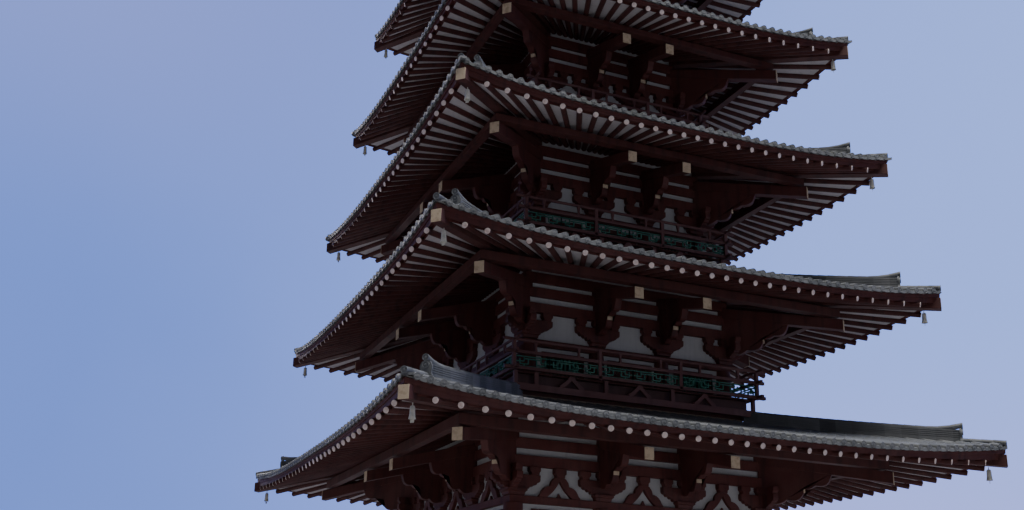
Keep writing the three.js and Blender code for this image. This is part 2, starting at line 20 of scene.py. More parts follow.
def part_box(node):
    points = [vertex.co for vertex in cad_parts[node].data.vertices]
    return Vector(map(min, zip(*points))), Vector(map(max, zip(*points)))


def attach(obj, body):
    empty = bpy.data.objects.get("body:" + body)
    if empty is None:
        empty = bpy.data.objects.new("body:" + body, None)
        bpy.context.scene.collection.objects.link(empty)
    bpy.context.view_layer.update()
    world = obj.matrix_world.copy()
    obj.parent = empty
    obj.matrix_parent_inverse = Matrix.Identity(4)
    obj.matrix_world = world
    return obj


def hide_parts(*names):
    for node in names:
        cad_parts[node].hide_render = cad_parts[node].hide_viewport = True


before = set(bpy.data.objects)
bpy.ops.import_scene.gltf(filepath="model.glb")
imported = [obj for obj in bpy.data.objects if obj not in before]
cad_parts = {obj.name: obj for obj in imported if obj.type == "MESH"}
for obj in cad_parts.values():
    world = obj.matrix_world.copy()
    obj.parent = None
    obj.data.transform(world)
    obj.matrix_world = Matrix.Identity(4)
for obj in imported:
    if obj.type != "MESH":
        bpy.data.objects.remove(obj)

log = logging.getLogger("pagoda")

Colour = tuple[float, float, float]
Point = tuple[float, float, float]
Pair = tuple[float, float]
Arc = tuple[Pair, float, int]
Placing = Callable[[float, float, float], Point]
Tiling = Callable[[float, bool], list[Point]]

QUARTERS = (0, 90, 180, 270)
SIDE_NAMES = ("south", "east", "north", "west")
ROOT = "root"
STOREY_COUNT = 5
DIAGONAL = math.sqrt(2)
BASIN_LIP = 0.09
SHARP_ANGLE = math.radians(40)
BEVEL_ANGLE = math.radians(50)


class Slot(Enum):
    """The record's material slots."""

    STONE = "stone"
    PLASTER = "plaster"
    VERMILION = "vermilion"
    RAFTERS = "rafter_red"
    TILE = "roof_tile"
    BRONZE = "bronze"
    ENDS = "end_cap"
    GREEN = "lattice_green"


def math_node(operation: str, swapped: bool = False) -> Callable[..., "Signal"]:
    """Returns a method of Signal that adds one Math node.

    Args:
        operation: The node's operation.
        swapped: Whether the other value goes into the first socket.
    """

    def method(signal: "Signal", *others: "Signal | float") -> "Signal":
        """Returns the node's result."""
        values = (*others, signal) if swapped else (signal, *others)
        node = signal.graph.node("ShaderNodeMath", {"operation": operation}, dict(enumerate(values)))
        return Signal(signal.graph, node.outputs[0])

    return method


class Signal:
    """A number that varies over a surface. Sums written with it in Python add their Math nodes."""

    __add__ = math_node("ADD")
    __radd__ = math_node("ADD", swapped=True)
    __sub__ = math_node("SUBTRACT")
    __rsub__ = math_node("SUBTRACT", swapped=True)
    __mul__ = math_node("MULTIPLY")
    __rmul__ = math_node("MULTIPLY", swapped=True)
    __truediv__ = math_node("DIVIDE")
    fraction = math_node("FRACT")
    whole = math_node("FLOOR")
    size = math_node("ABSOLUTE")
    most = math_node("MAXIMUM")

    def __init__(self, graph: "Graph", socket: bpy.types.NodeSocket) -> None:
        """Wraps an output socket of a graph."""
        self.graph = graph
        self.socket = socket

    def ramp(self, low: float, high: float) -> "Signal":
        """Rises smoothly from 0 to 1 as the value goes from low to high, which may be less than low."""
        settings = {"interpolation_type": "SMOOTHSTEP"}
        inputs = {"Value": self, "From Min": low, "From Max": high}
        if low > high:
            inputs.update({"From Min": high, "From Max": low, "To Min": 1.0, "To Max": 0.0})
        return Signal(self.graph, self.graph.node("ShaderNodeMapRange", settings, inputs).outputs[0])


class Graph:
    """The node tree of one finish."""

    def __init__(self, name: str) -> None:
        """Makes an empty material with its shader and output."""
        self.material = bpy.data.materials.new(name)
        self.material.use_nodes = True
        self.tree = self.material.node_tree
        self.tree.nodes.clear()
        self.shader = self.node("ShaderNodeBsdfPrincipled")
        self.node("ShaderNodeOutputMaterial", inputs={"Surface": self.shader.outputs[0]})

    @classmethod
    def of_world(cls, name: str) -> "Graph":
        """Returns the node tree of a new sky, whose shader is its background."""
        world = bpy.data.worlds.new(name)
        world.use_nodes = True
        bpy.context.scene.world = world
        graph = cls.__new__(cls)
        graph.tree = world.node_tree
        graph.shader = graph.tree.nodes["Background"]
        return graph

    def node(self, kind: str, settings: dict | None = None, inputs: dict | None = None) -> bpy.types.Node:
        """Adds a node of any kind.

        Args:
            kind: The node's type.
            settings: Its properties, which are set first.
            inputs: A value, a socket or a Signal for each input, by name or number.

        Returns:
            The new node.
        """
        node = self.tree.nodes.new(kind)
        for key, value in (settings or {}).items():
            setattr(node, key, value)
        for key, value in (inputs or {}).items():
            self.feed(node.inputs[key], value)
        return node

    def feed(self, socket: bpy.types.NodeSocket, value: object) -> None:
        """Links an input to a Signal or another socket, or sets its own number or colour."""
        if isinstance(value, Signal):
            value = value.socket
        if isinstance(value, bpy.types.NodeSocket):
            self.tree.links.new(value, socket)
        elif socket.type == "RGBA":
            socket.default_value = (*value, 1.0)
        else:
            socket.default_value = value

    def place(self) -> bpy.types.NodeSocket:
        """Returns the point on the tower, in metres."""
        return self.node("ShaderNodeTexCoord").outputs["Object"]

    def member(self) -> bpy.types.NodeSocket:
        """Returns the place on a member: along it, round it, and a number of its own."""
        return self.node("ShaderNodeAttribute", {"attribute_name": "member"}).outputs["Vector"]

    def scaled(self, vector: bpy.types.NodeSocket, scale: Point) -> bpy.types.NodeSocket:
        """Returns a vector with each direction stretched by its own amount."""
        return self.node("ShaderNodeVectorMath", {"operation": "MULTIPLY"}, {0: vector, 1: scale}).outputs[0]

    def parts(self, vector: bpy.types.NodeSocket) -> list[Signal]:
        """Returns the three numbers of a vector."""
        node = self.node("ShaderNodeSeparateXYZ", inputs={0: vector})
        return [Signal(self, output) for output in node.outputs]

    def noise(self, vector: bpy.types.NodeSocket, scale: float, detail: float = 3.0) -> Signal:
        """Returns soft noise from 0 to 1.

        Args:
            vector: Where it is looked up.
            scale: Blotches to a metre.
            detail: Octaves.
        """
        inputs = {"Vector": vector, "Scale": scale, "Detail": detail}
        return Signal(self, self.node("ShaderNodeTexNoise", inputs=inputs).outputs[0])

    def chance(self, *values: "Signal | float") -> Signal:
        """Returns one random number from 0 to 1 for each set of up to three whole numbers."""
        where = self.node("ShaderNodeCombineXYZ", inputs=dict(enumerate(values))).outputs[0]
        node = self.node("ShaderNodeTexWhiteNoise", {"noise_dimensions": "3D"}, {"Vector": where})
        return Signal(self, node.outputs["Value"])

    def mix(self, factor: "Signal | float", first: object, second: object, blend: str = "MIX") -> object:
        """Blends two colours.

        Args:
            factor: The second colour's share.
            first: A colour or its socket.
            second: The other.
            blend: The way of mixing.

        Returns:
            The colour socket.
        """
        settings = {"data_type": "RGBA", "blend_type": blend}
        return self.node("ShaderNodeMix", settings, {0: factor, 6: first, 7: second}).outputs[2]

    def shade(self, colour: object, value: Signal) -> object:
        """Returns a colour made lighter or darker by a varying value around 1."""
        grey = self.node("ShaderNodeCombineXYZ", inputs={0: value, 1: value, 2: value}).outputs[0]
        return self.mix(1.0, colour, grey, "MULTIPLY")

    def close(self, colour: object, roughness: "Signal | float", height: Signal, relief: float) -> None:
        """Feeds the shader.

        Args:
            colour: The base colour.
            roughness: The roughness.
            height: The surface's height, from 0 to 1.
            relief: What 1 stands for, in metres.
        """
        self.feed(self.shader.inputs["Base Color"], colour)
        self.feed(self.shader.inputs["Roughness"], roughness)
        bump = self.node("ShaderNodeBump", inputs={"Strength": 1.0, "Distance": relief, "Height": height})
        self.feed(self.shader.inputs["Normal"], bump.outputs[0])


@dataclass(frozen=True)
class Finish:
    """A surface finish, built as a material the first time that it is asked for."""

    name: str

    def material(self) -> bpy.types.Material:
        """Returns the finish's material."""
        known = bpy.data.materials.get(self.name)
        if known:
            return known
        graph = Graph(self.name)
        self.build(graph)
        return graph.material

    def build(self, graph: Graph) -> None:
        """Adds the finish's nodes."""
        raise NotImplementedError


@dataclass(frozen=True)
class Paint(Finish):
    """Old paint on timber: faded in patches, streaked along the grain, with soot in streaks that run down it.
    """

    colour: Colour
    faded: Colour
    soot: float = 0.45
    roughness: float = 0.62

    def build(self, graph: Graph) -> None:
        """Adds the finish's nodes."""
        place = graph.place()
        member = graph.member()
        number = graph.parts(member)[2]
        fading = graph.noise(place, 0.9, 5).ramp(0.38, 0.68)
        grain = graph.noise(graph.scaled(member, (0.9, 16.0, 16.0)), 2.2, 4)
        streaks = graph.noise(graph.scaled(place, (3.0, 3.0, 0.35)), 1.6, 4)
        flakes = graph.noise(place, 14.0, 6).ramp(0.63, 0.70)
        tone = graph.chance(number.whole(), 3.0, 7.0)
        colour = graph.mix(fading * 0.55 + grain * 0.3, self.colour, self.faded)
        value = (0.78 + grain * 0.34) * (0.86 + tone * 0.24)
        value = value * (1.0 - self.soot * streaks.ramp(0.45, 0.75)) * (1.0 - 0.28 * flakes)
        roughness = self.roughness + grain * 0.2 - fading * 0.05
        graph.close(graph.shade(colour, value), roughness, grain * 0.6 + (1.0 - flakes) * 0.4, 0.004)


@dataclass(frozen=True)
class EndPaint(Finish):
    """Pale paint on the cut ends of timbers, darker in patches where it has worn."""

    colour: Colour
    worn: Colour

    def build(self, graph: Graph) -> None:
        """Adds the finish's nodes."""
        place = graph.place()
        wear = graph.noise(place, 9.0, 5).ramp(0.45, 0.72)
        fine = graph.noise(place, 60.0, 3)
        colour = graph.mix(wear * 0.7, self.colour, self.worn)
        graph.close(graph.shade(colour, 0.85 + fine * 0.3), 0.7, fine, 0.002)


@dataclass(frozen=True)
class Plaster(Finish):
    """Lime plaster, trowelled and a little stained by rain."""

    colour: Colour
    stain: Colour

    def build(self, graph: Graph) -> None:
        """Adds the finish's nodes."""
        place = graph.place()
        clouds = graph.noise(place, 1.1, 5).ramp(0.35, 0.75)
        runs = graph.noise(graph.scaled(place, (5.0, 5.0, 0.5)), 2.0, 5).ramp(0.5, 0.8)
        trowel = graph.noise(graph.scaled(place, (1.0, 1.0, 2.5)), 7.0, 4)
        colour = graph.mix(clouds * 0.3 + runs * 0.4, self.colour, self.stain)
        graph.close(graph.shade(colour, 0.92 + trowel * 0.14), 0.88, trowel, 0.004)


@dataclass(frozen=True)
class Clay(Finish):
    """Fired roof clay, a little different from tile to tile, with soot and dry moss."""

    colour: Colour
    pale: Colour
    moss: Colour

    def build(self, graph: Graph) -> None:
        """Adds the finish's nodes."""
        place = graph.place()
        along, row, kind = graph.parts(graph.member())
        tile = graph.chance(along.whole(), row.whole(), kind.whole())
        batch = graph.chance(along.whole(), kind.whole(), row.whole())
        blotch = graph.noise(place, 2.2, 5)
        grit = graph.noise(place, 70.0, 3)
        moss = graph.noise(place, 0.8, 6).ramp(0.52, 0.72) * blotch.ramp(0.4, 0.62)
        colour = graph.mix(tile * 0.55 + blotch.ramp(0.4, 0.75) * 0.35, self.colour, self.pale)
        colour = graph.mix(moss * 0.55, colour, self.moss)
        value = (0.72 + batch * 0.42) * (0.88 + grit * 0.24)
        roughness = 0.62 + moss * 0.2 + grit * 0.1 - tile * 0.12
        graph.close(graph.shade(colour, value), roughness, grit, 0.0025)


@dataclass(frozen=True)
class Granite(Finish):
    """Dressed granite in slabs with thin joints."""

    colour: Colour
    dark: Colour
    slab: float = 0.9
    joint: float = 0.008

    def build(self, graph: Graph) -> None:
        """Adds the finish's nodes."""
        place = graph.place()
        x, y, z = graph.parts(place)
        half = 0.5 * self.slab
        lines = []
        for value in (x, y):
            across = ((value + half) / self.slab).fraction()
            lines.append((across - 0.5).size().ramp(0.5 - self.joint / self.slab, 0.5))
        joint = lines[0].most(lines[1])
        slabs = [((value + half) / self.slab).whole() for value in (x, y)]
        tone = graph.chance(*slabs, (z * 2).whole())
        grains = graph.noise(place, 120.0, 2).ramp(0.35, 0.65)
        damp = graph.noise(place, 0.7, 5).ramp(0.4, 0.75)
        colour = graph.mix(grains * 0.45 + damp * 0.3, self.colour, self.dark)
        value = (0.86 + tone * 0.24) * (1.0 - 0.6 * joint)
        height = grains * 0.15 + (1.0 - joint) * 0.85
        graph.close(graph.shade(colour, value), 0.8 + grains * 0.1, height, 0.006)


@dataclass(frozen=True)
class Planks(Finish):
    """Bare planks laid side by side, grey where feet and rain have worn them."""

    colour: Colour
    worn: Colour
    width: float = 0.22

    def build(self, graph: Graph) -> None:
        """Adds the finish's nodes."""
        place = graph.place()
        x = graph.parts(place)[0]
        board = (x / self.width).whole()
        gap = ((x / self.width).fraction() - 0.5).size().ramp(0.47, 0.5)
        grain = graph.noise(graph.scaled(place, (22.0, 1.2, 22.0)), 1.5, 4)
        colour = graph.mix(grain * 0.6 + graph.chance(board, 1.0, 5.0) * 0.4, self.colour, self.worn)
        graph.close(graph.shade(colour, 1.0 - gap * 0.7), 0.78, grain * 0.3 + (1.0 - gap) * 0.7, 0.005)


@dataclass(frozen=True)
class Bronze(Finish):
    """Cast bronze with green patina in its hollows."""

    colour: Colour
    patina: Colour

    def build(self, graph: Graph) -> None:
        """Adds the finish's nodes."""
        place = graph.place()
        runs = graph.noise(graph.scaled(place, (6.0, 6.0, 0.8)), 1.3, 5)
        pits = graph.noise(place, 24.0, 4)
        green = (runs * 0.7 + pits * 0.3).ramp(0.42, 0.62)
        colour = graph.mix(green, self.colour, self.patina)
        graph.feed(graph.shader.inputs["Metallic"], 0.85 - green * 0.75)
        graph.close(graph.shade(colour, 0.85 + pits * 0.3), 0.38 + green * 0.4, pits, 0.004)


VERMILION = Paint("painted_vermilion", (0.088, 0.0135, 0.010), (0.130, 0.040, 0.032))
RAFTER_RED = Paint("painted_rafters", (0.072, 0.013, 0.010), (0.105, 0.033, 0.027), soot=0.5)
DOOR_RED = Paint("painted_doors", (0.085, 0.014, 0.011), (0.120, 0.036, 0.028), soot=0.35, roughness=0.5)
# Darker red for the boards behind the balcony struts: painted shade standing for the recess under the deck.
SHADED_RED = Paint("painted_shade_base_boards", (0.085, 0.034, 0.034), (0.120, 0.060, 0.060), soot=0.3)
# Lighter, greyer red for the balcony rails, struts and base beam: partly sun-bleached weathering, partly a
# painted highlight where they catch the light.
BLEACHED_AND_LIT_RED = Paint("painted_rails_bleached_and_lit", (0.140, 0.050, 0.047), (0.200, 0.100, 0.095), soot=0.25)
GREEN = Paint("painted_green", (0.030, 0.175, 0.122), (0.09, 0.27, 0.205), soot=0.3)
END_PAINT = EndPaint("painted_ends", (0.62, 0.50, 0.34), (0.38, 0.26, 0.16))
DISC_PAINT = EndPaint("painted_rafter_ends", (0.78, 0.66, 0.60), (0.58, 0.43, 0.36))
PLASTER = Plaster("lime_plaster", (0.47, 0.475, 0.47), (0.35, 0.335, 0.32))
SOFFIT = Plaster("white_soffit_boards", (0.60, 0.56, 0.56), (0.42, 0.38, 0.37))
CLAY = Clay("roof_clay", (0.110, 0.118, 0.124), (0.235, 0.24, 0.242), (0.10, 0.11, 0.075))
BED = Clay("roof_bedding", (0.06, 0.058, 0.055), (0.09, 0.085, 0.08), (0.07, 0.07, 0.05))
GRANITE = Granite("podium_granite", (0.42, 0.41, 0.385), (0.24, 0.235, 0.22))
FLOOR_PLANKS = Planks("floor_planks", (0.24, 0.16, 0.10), (0.36, 0.31, 0.25))
BRONZE = Bronze("spire_bronze", (0.16, 0.115, 0.062), (0.10, 0.155, 0.12))
BELL_PATINA = EndPaint("bell_patina", (0.66, 0.64, 0.56), (0.38, 0.41, 0.35))


def lobes(start: Pair, *arcs: Arc) -> list[Pair]:
    """Returns the points of a row of shallow arcs, with its last end.

    Args:
        start: The first point.
        arcs: Each arc's end, its height to the right of the way as a share of its width, and its stretches.
    """
    points = [start]
    for end, bulge, steps in arcs:
        (x, y), dx, dy = start, end[0] - start[0], end[1] - start[1]
        for i in range(1, steps):
            u = i / steps
            out = 4 * u * (1 - u) * bulge
            points.append((x + dx * u + dy * out, y + dy * u - dx * out))
        points.append(end)
        start = end
    return points


def mirrored(right: Sequence[Pair], x: float = 0.0) -> list[Pair]:
    """Returns a whole outline about x from its right half. A point on the middle is kept once."""
    return [(x + a, z) for a, z in right] + [(x - a, z) for a, z in reversed(right) if a]


def oblong(near: float, far: float, low: float, high: float) -> list[Pair]:
    """Returns the corners of an oblong section."""
    return [(near, low), (far, low), (far, high), (near, high)]


def square(half: float, z: float, x: float = 0.0, y: float = 0.0) -> list[Point]:
    """Returns the corners of a level square about a point."""
    return [(x + sx * half, y + sy * half, z) for sx, sy in ((-1, -1), (1, -1), (1, 1), (-1, 1))]


def hoop(middle: Point, radius: float, turns: np.ndarray) -> list[Point]:
    """Returns points of a circle that faces -Y, at some angles in radians."""
    x, y, z = middle
    return [(x + radius * math.cos(a), y, z + radius * math.sin(a)) for a in turns]


def dome(radius: float, rise: float, middle: float, first: float, last: float, count: int) -> list[Pair]:
    """Returns radius and height of points on a rounded profile.

    Args:
        radius: The profile's widest radius.
        rise: Its height over its middle.
        middle: The height of its middle.
        first: The angle of the first point, in degrees.
        last: The angle of the last point.
        count: How many points there are.
    """
    turns = np.radians(np.linspace(first, last, count))
    return [(radius * math.cos(a), middle + rise * math.sin(a)) for a in turns]


class Shape:
    """Points and faces of one piece, gathered member by member."""

    def __init__(self) -> None:
        """Starts with nothing."""
        self.points: list[np.ndarray] = []
        self.member: list[np.ndarray] = []
        self.faces: list[tuple[int, ...]] = []
        self.smooth: list[bool] = []
        self.count = 0
        self.members = 0

    def loft(
        self,
        rings: Sequence,
        smooth: bool = False,
        caps: bool = True,
        along: Sequence[float] | None = None,
        row: float | None = None,
    ) -> None:
        """Adds the closed skin through a row of outlines with the same number of points.

        Args:
            rings: The outlines, each a row of points.
            smooth: Whether its sides shade as one curved surface.
            caps: Whether both ends are closed.
            along: Each outline's place along the member, or its distance where this isn't given.
            row: The member's own number, or the next free one.
        """
        rings = np.asarray(rings, float)
        rows, count = rings.shape[:2]
        if along is None:
            steps = np.linalg.norm(np.diff(rings.mean(1), axis=0), axis=1)
            along = np.concatenate([[0.0], np.cumsum(steps)])
        edges = np.linalg.norm(rings[0] - np.roll(rings[0], 1, axis=0), axis=1)
        member = np.zeros((rows, count, 3))
        member[..., 0] = np.asarray(along)[:, None]
        member[..., 1] = np.cumsum(edges)[None, :]
        member[..., 2] = self.members if row is None else row
        first, last = self.count, self.count + (rows - 1) * count
        for base in range(first, last, count):
            for i in range(count):
                j = (i + 1) % count
                self.faces.append((base + i, base + j, base + count + j, base + count + i))
        self.smooth += [smooth] * (last - first)
        if caps:
            self.faces += [tuple(reversed(range(first, first + count))), tuple(range(last, last + count))]
            self.smooth += [False] * 2
        self.points.append(rings.reshape(-1, 3))
        self.member.append(member.reshape(-1, 3))
        self.count += rows * count
        self.members += 1

    def mitred(self, section: Sequence[Pair]) -> None:
        """Adds a strip along the -Y side, mitred at the corners, from its section in t and height."""
        self.loft([[(end * t, -t, z) for t, z in section] for end in (-1, 1)])

    def box(self, x: Pair, y: Pair, z: Pair) -> None:
        """Adds a block between two limits in X, in Y and in Z."""
        limits = [sorted(pair) for pair in (x, y, z)]
        along = int(np.argmax([high - low for low, high in limits]))
        second, third = [axis for axis in range(3) if axis != along]
        rings = np.zeros((2, 4, 3))
        for end in range(2):
            for i, (a, b) in enumerate(((0, 0), (1, 0), (1, 1), (0, 1))):
                rings[end, i, along] = limits[along][end]
                rings[end, i, second] = limits[second][a]
                rings[end, i, third] = limits[third][b]
        self.loft(rings)

    def beam(self, start: Point, end: Point, width: float, height: float) -> None:
        """Adds a straight timber with plumb ends.

        Args:
            start: The middle of its first end.
            end: The middle of its other end.
            width: Its level width.
            height: Its height, measured plumb.
        """
        first, last = np.asarray(start, float), np.asarray(end, float)
        way = last - first
        side = np.array([-way[1], way[0], 0.0])
        side *= 0.5 * width / np.linalg.norm(side)
        up = np.array([0.0, 0.0, 0.5 * height])
        ring = [side - up, side + up, up - side, -side - up]
        self.loft([[first + r for r in ring], [last + r for r in ring]])

    def rod(self, start: Point, end: Point, radius: float | Pair, sides: int = 10) -> None:
        """Adds a round bar.

        Args:
            start: The middle of its first end.
            end: The middle of its other end.
            radius: Its radius, or one for each end.
            sides: Its flats.
        """
        first, last = np.asarray(start, float), np.asarray(end, float)
        way = (last - first) / np.linalg.norm(last - first)
        helper = np.array([0.0, 0.0, 1.0]) if abs(way[2]) < 0.9 else np.array([1.0, 0.0, 0.0])
        side = np.cross(way, helper)
        side /= np.linalg.norm(side)
        up = np.cross(side, way)
        turns = np.arange(sides) * 2 * math.pi / sides
        circle = np.cos(turns)[:, None] * side + np.sin(turns)[:, None] * up
        radii = radius if isinstance(radius, tuple) else (radius, radius)
        self.loft([first + radii[0] * circle, last + radii[1] * circle], smooth=True)

    def plate(self, outline: Sequence[Pair], depth: Pair, place: Placing) -> None:
        """Adds a flat outline with a thickness.

        Args:
            outline: Its points.
            depth: Where its two faces lie.
            place: Gives the point for a point of the outline and a depth.
        """
        self.loft([[place(a, b, d) for a, b in outline] for d in depth])

    def turn(self, profile: Sequence[Pair], sides: int, centre: Pair = (0.0, 0.0)) -> None:
        """Adds a turned shape on a plumb axis.

        Args:
            profile: Radius and height of each point, from one end on the axis to the other.
            sides: Its flats.
            centre: Where the axis stands.
        """
        turns = np.arange(sides) * 2 * math.pi / sides
        circle = np.stack([np.cos(turns), np.sin(turns), np.zeros(sides)], axis=1)
        self.loft([circle * r + (*centre, z) for r, z in profile], smooth=True)

    def join(self, other: "Shape", matrix: Matrix | None = None) -> None:
        """Adds another shape's members, moved by a matrix or left in place."""
        if not other.count:
            return
        points = np.concatenate(other.points)
        if matrix is not None:
            full = np.array(matrix)
            points = points @ full[:3, :3].T + full[:3, 3]
        self.points.append(points)
        self.member.append(np.concatenate(other.member))
        base = self.count
        self.faces.extend(tuple(base + i for i in face) for face in other.faces)
        self.smooth.extend(other.smooth)
        self.count += other.count
        self.members += other.members

    def around(self, first: float = 0.0) -> "Shape":
        """Returns four copies, a quarter turn apart, the first turned by some degrees."""
        whole = Shape()
        for quarter in QUARTERS:
            whole.join(self, Matrix.Rotation(math.radians(quarter + first), 4, "Z"))
        return whole

    def piece(
        self, name: str, finish: Finish, slot: Slot, replaces: Sequence[str] = (), bevel: float = 0.0
    ) -> None:
        """Makes the piece and hangs it on the tower.

        Args:
            name: The piece's name.
            finish: Its finish.
            slot: The record's material slot; not used.
            replaces: CAD nodes that it stands for.
            bevel: The width of its worn edges, or 0 for none.
        """
        mesh = bpy.data.meshes.new(name)
        mesh.from_pydata(np.concatenate(self.points).tolist(), [], self.faces)
        mesh.polygons.foreach_set("use_smooth", self.smooth)
        member = mesh.attributes.new("member", "FLOAT_VECTOR", "POINT")
        member.data.foreach_set("vector", np.concatenate(self.member).astype(np.float32).ravel())
        work = bmesh.new()
        work.from_mesh(mesh)
        bmesh.ops.recalc_face_normals(work, faces=work.faces)
        work.to_mesh(mesh)
        work.free()
        mesh.set_sharp_from_angle(angle=SHARP_ANGLE)
        mesh.materials.append(finish.material())
        piece = bpy.data.objects.new(name, mesh)
        bpy.context.scene.collection.objects.link(piece)
        if bevel:
            edge = piece.modifiers.new("worn_edges", "BEVEL")
            edge.width = bevel
            edge.segments = 1
            edge.limit_method = "ANGLE"
            edge.angle_limit = BEVEL_ANGLE
        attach(piece, ROOT)
        if replaces:
            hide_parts(*replaces)
        log.info("%s: %d faces", name, len(mesh.polygons))


@dataclass(frozen=True)
class Storey:
    """Sizes of one storey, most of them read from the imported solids."""

    number: int
    column: float
    purlin: float
    rafters: int
    eave: float
    hip: float
    face: float
    floor: float
    rail: float
    roof_inside: float
    roof_rise: float

    RAFTER_LIFT = 0.27
    TILE_LIFT = 0.43
    UNDER_END = -0.39
    UNDER_WALL = 0.80
    TILE_FOOT = -0.105
    TILE_REACH = 0.09
    BELL_DROP = 0.58
    PLASTER_PROUD = 0.06
    EDGE_TOP = 0.05
    EDGE_SLOPE = 0.24
    BASE_OUT = 0.325
    WALL_RISE = 1.47

    @classmethod
    def read(cls, number: int, column: float, purlin: float, rafters: int) -> "Storey":
        """Reads a storey from the frame.

        Args:
            number: The storey, from the ground up.
            column: The radius of its columns.
            purlin: The half width of its purlin.
            rafters: The rafters on each side.

        Returns:
            The storey's sizes.
        """
        ground = number == 1
        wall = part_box("south_wall" if ground else f"walls_{number}")[0]
        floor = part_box("podium" if ground else f"floor_{number}")[1].z
        rail = 0.0 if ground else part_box(f"balcony_{number}")[1].z - floor
        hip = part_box(f"eaves_{number}")[0].z + cls.BELL_DROP
        if number == STOREY_COUNT:
            basin_low, basin_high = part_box("dew_basin")
            inside, rise = basin_high.x - BASIN_LIP, basin_low.z - hip
        else:
            inside, rise = -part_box(f"walls_{number + 1}")[0].y + cls.BASE_OUT, cls.WALL_RISE
        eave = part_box(f"roof_{number}")[1].x - cls.TILE_REACH
        return cls(number, column, purlin, rafters, eave, hip, -wall.y, floor, rail, inside, rise)

    @property
    def bay(self) -> float:
        """The spacing of the columns."""
        return (self.face - self.PLASTER_PROUD) / 1.5

    @property
    def columns(self) -> list[float]:
        """The places of the columns along a side."""
        return [bays * self.bay for bays in (-1.5, -0.5, 0.5, 1.5)]

    @property
    def slope(self) -> float:
        """The fall of the rafters, metre for metre."""
        return (self.UNDER_WALL - self.UNDER_END) / (self.eave - self.face)

    @property
    def edge(self) -> float:
        """The half width to the ends of the tiles."""
        return self.eave + self.TILE_REACH

    def lift(self, full: float, u: float, t: float) -> float:
        """Returns how far the eave's upward sweep raises a point, where full is its rise at the corners."""
        share = max(0.0, (t - self.face) / (self.eave - self.face))
        return full * abs(u) ** 3 * share

    def under(self, u: float, t: float) -> float:
        """Returns the height of the rafters' undersides."""
        return self.hip + self.UNDER_END + (self.eave - t) * self.slope + self.lift(self.RAFTER_LIFT, u, t)

    def foot(self, u: float, t: float) -> float:
        """Returns the height of the tiles' undersides near the eave."""
        return self.hip + self.TILE_FOOT + (self.eave - t) * self.slope + self.lift(self.TILE_LIFT, u, t)

    def tiles(self, u: float, t: float) -> float:
        """Returns the height of the tiles' tops."""
        span = self.edge - self.roof_inside
        curve = (self.roof_rise - self.EDGE_TOP - self.EDGE_SLOPE * span) / span**2
        out = self.edge - t
        rise = self.lift(self.TILE_LIFT, u, t)
        return self.hip + self.EDGE_TOP + self.EDGE_SLOPE * out + curve * out**2 + rise


@dataclass(frozen=True)
class Podium:
    """The stone podium, its steps, the stones under the columns, and the uprights between its courses."""

    post: float = 0.2
    proud: float = 0.05
    sunk: float = 0.1
    spacing: float = 1.45
    course: float = 0.18
    reach: float = 0.13
    lap: float = 0.02
    base_radius: float = 0.43
    base_height: float = 0.07
    rounding: float = 0.03

    def build(self, ground: Storey) -> None:
        """Dresses the stonework and adds its uprights and the stones under the ground storey's columns."""
        for name in ["podium", *(f"{side}_steps" for side in SIDE_NAMES)]:
            dress_node(name, GRANITE)
        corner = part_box("podium")[1]
        half, post = corner.x - self.reach, self.post / 2
        heights = (self.course - self.lap, corner.z - self.course + self.lap)
        side = Shape()
        count = int(half / self.spacing)
        for i in range(-count, count + 1):
            x = i * self.spacing
            if abs(x) >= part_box("south_steps")[1].x:
                side.box((x - post, x + post), (-half - self.proud, -half + self.sunk), heights)
        side.box((half - post, half + self.proud), (-half - self.proud, -half + post), heights)
        whole = side.around()
        top, radius = corner.z + self.base_height, self.base_radius
        profile = [(radius, corner.z - self.lap), (radius, top - self.rounding)]
        profile += [(radius - self.rounding, top), (0.05, top)]
        for x in ground.columns:
            for y in ground.columns:
                if ground.columns[-1] in (abs(x), abs(y)):
                    whole.turn(profile, 24, (x, y))
        whole.piece("podium_uprights_and_column_bases", GRANITE, Slot.STONE, bevel=0.01)


@dataclass(frozen=True)
class Frieze:
    """Timbers over the columns: heights over the hip ends, depth off the plaster, and sizes."""

    head: Pair = (-1.51, -1.31)
    block: Pair = (-1.31, -1.13)
    arm: Pair = (-0.96, -0.54)
    arm_edge: float = -0.88
    seat: float = -0.76
    bracket: Pair = (-0.54, -0.25)
    upper: tuple[Pair, ...] = ((-0.06, 0.22), (0.36, 0.66))
    depth: float = 0.11
    block_foot: float = 0.23
    block_top: float = 0.285
    arm_half: float = 0.69
    arm_space: float = 0.10
    small_half: float = 0.16
    small_foot: float = 0.72
    arm_width: float = 0.24


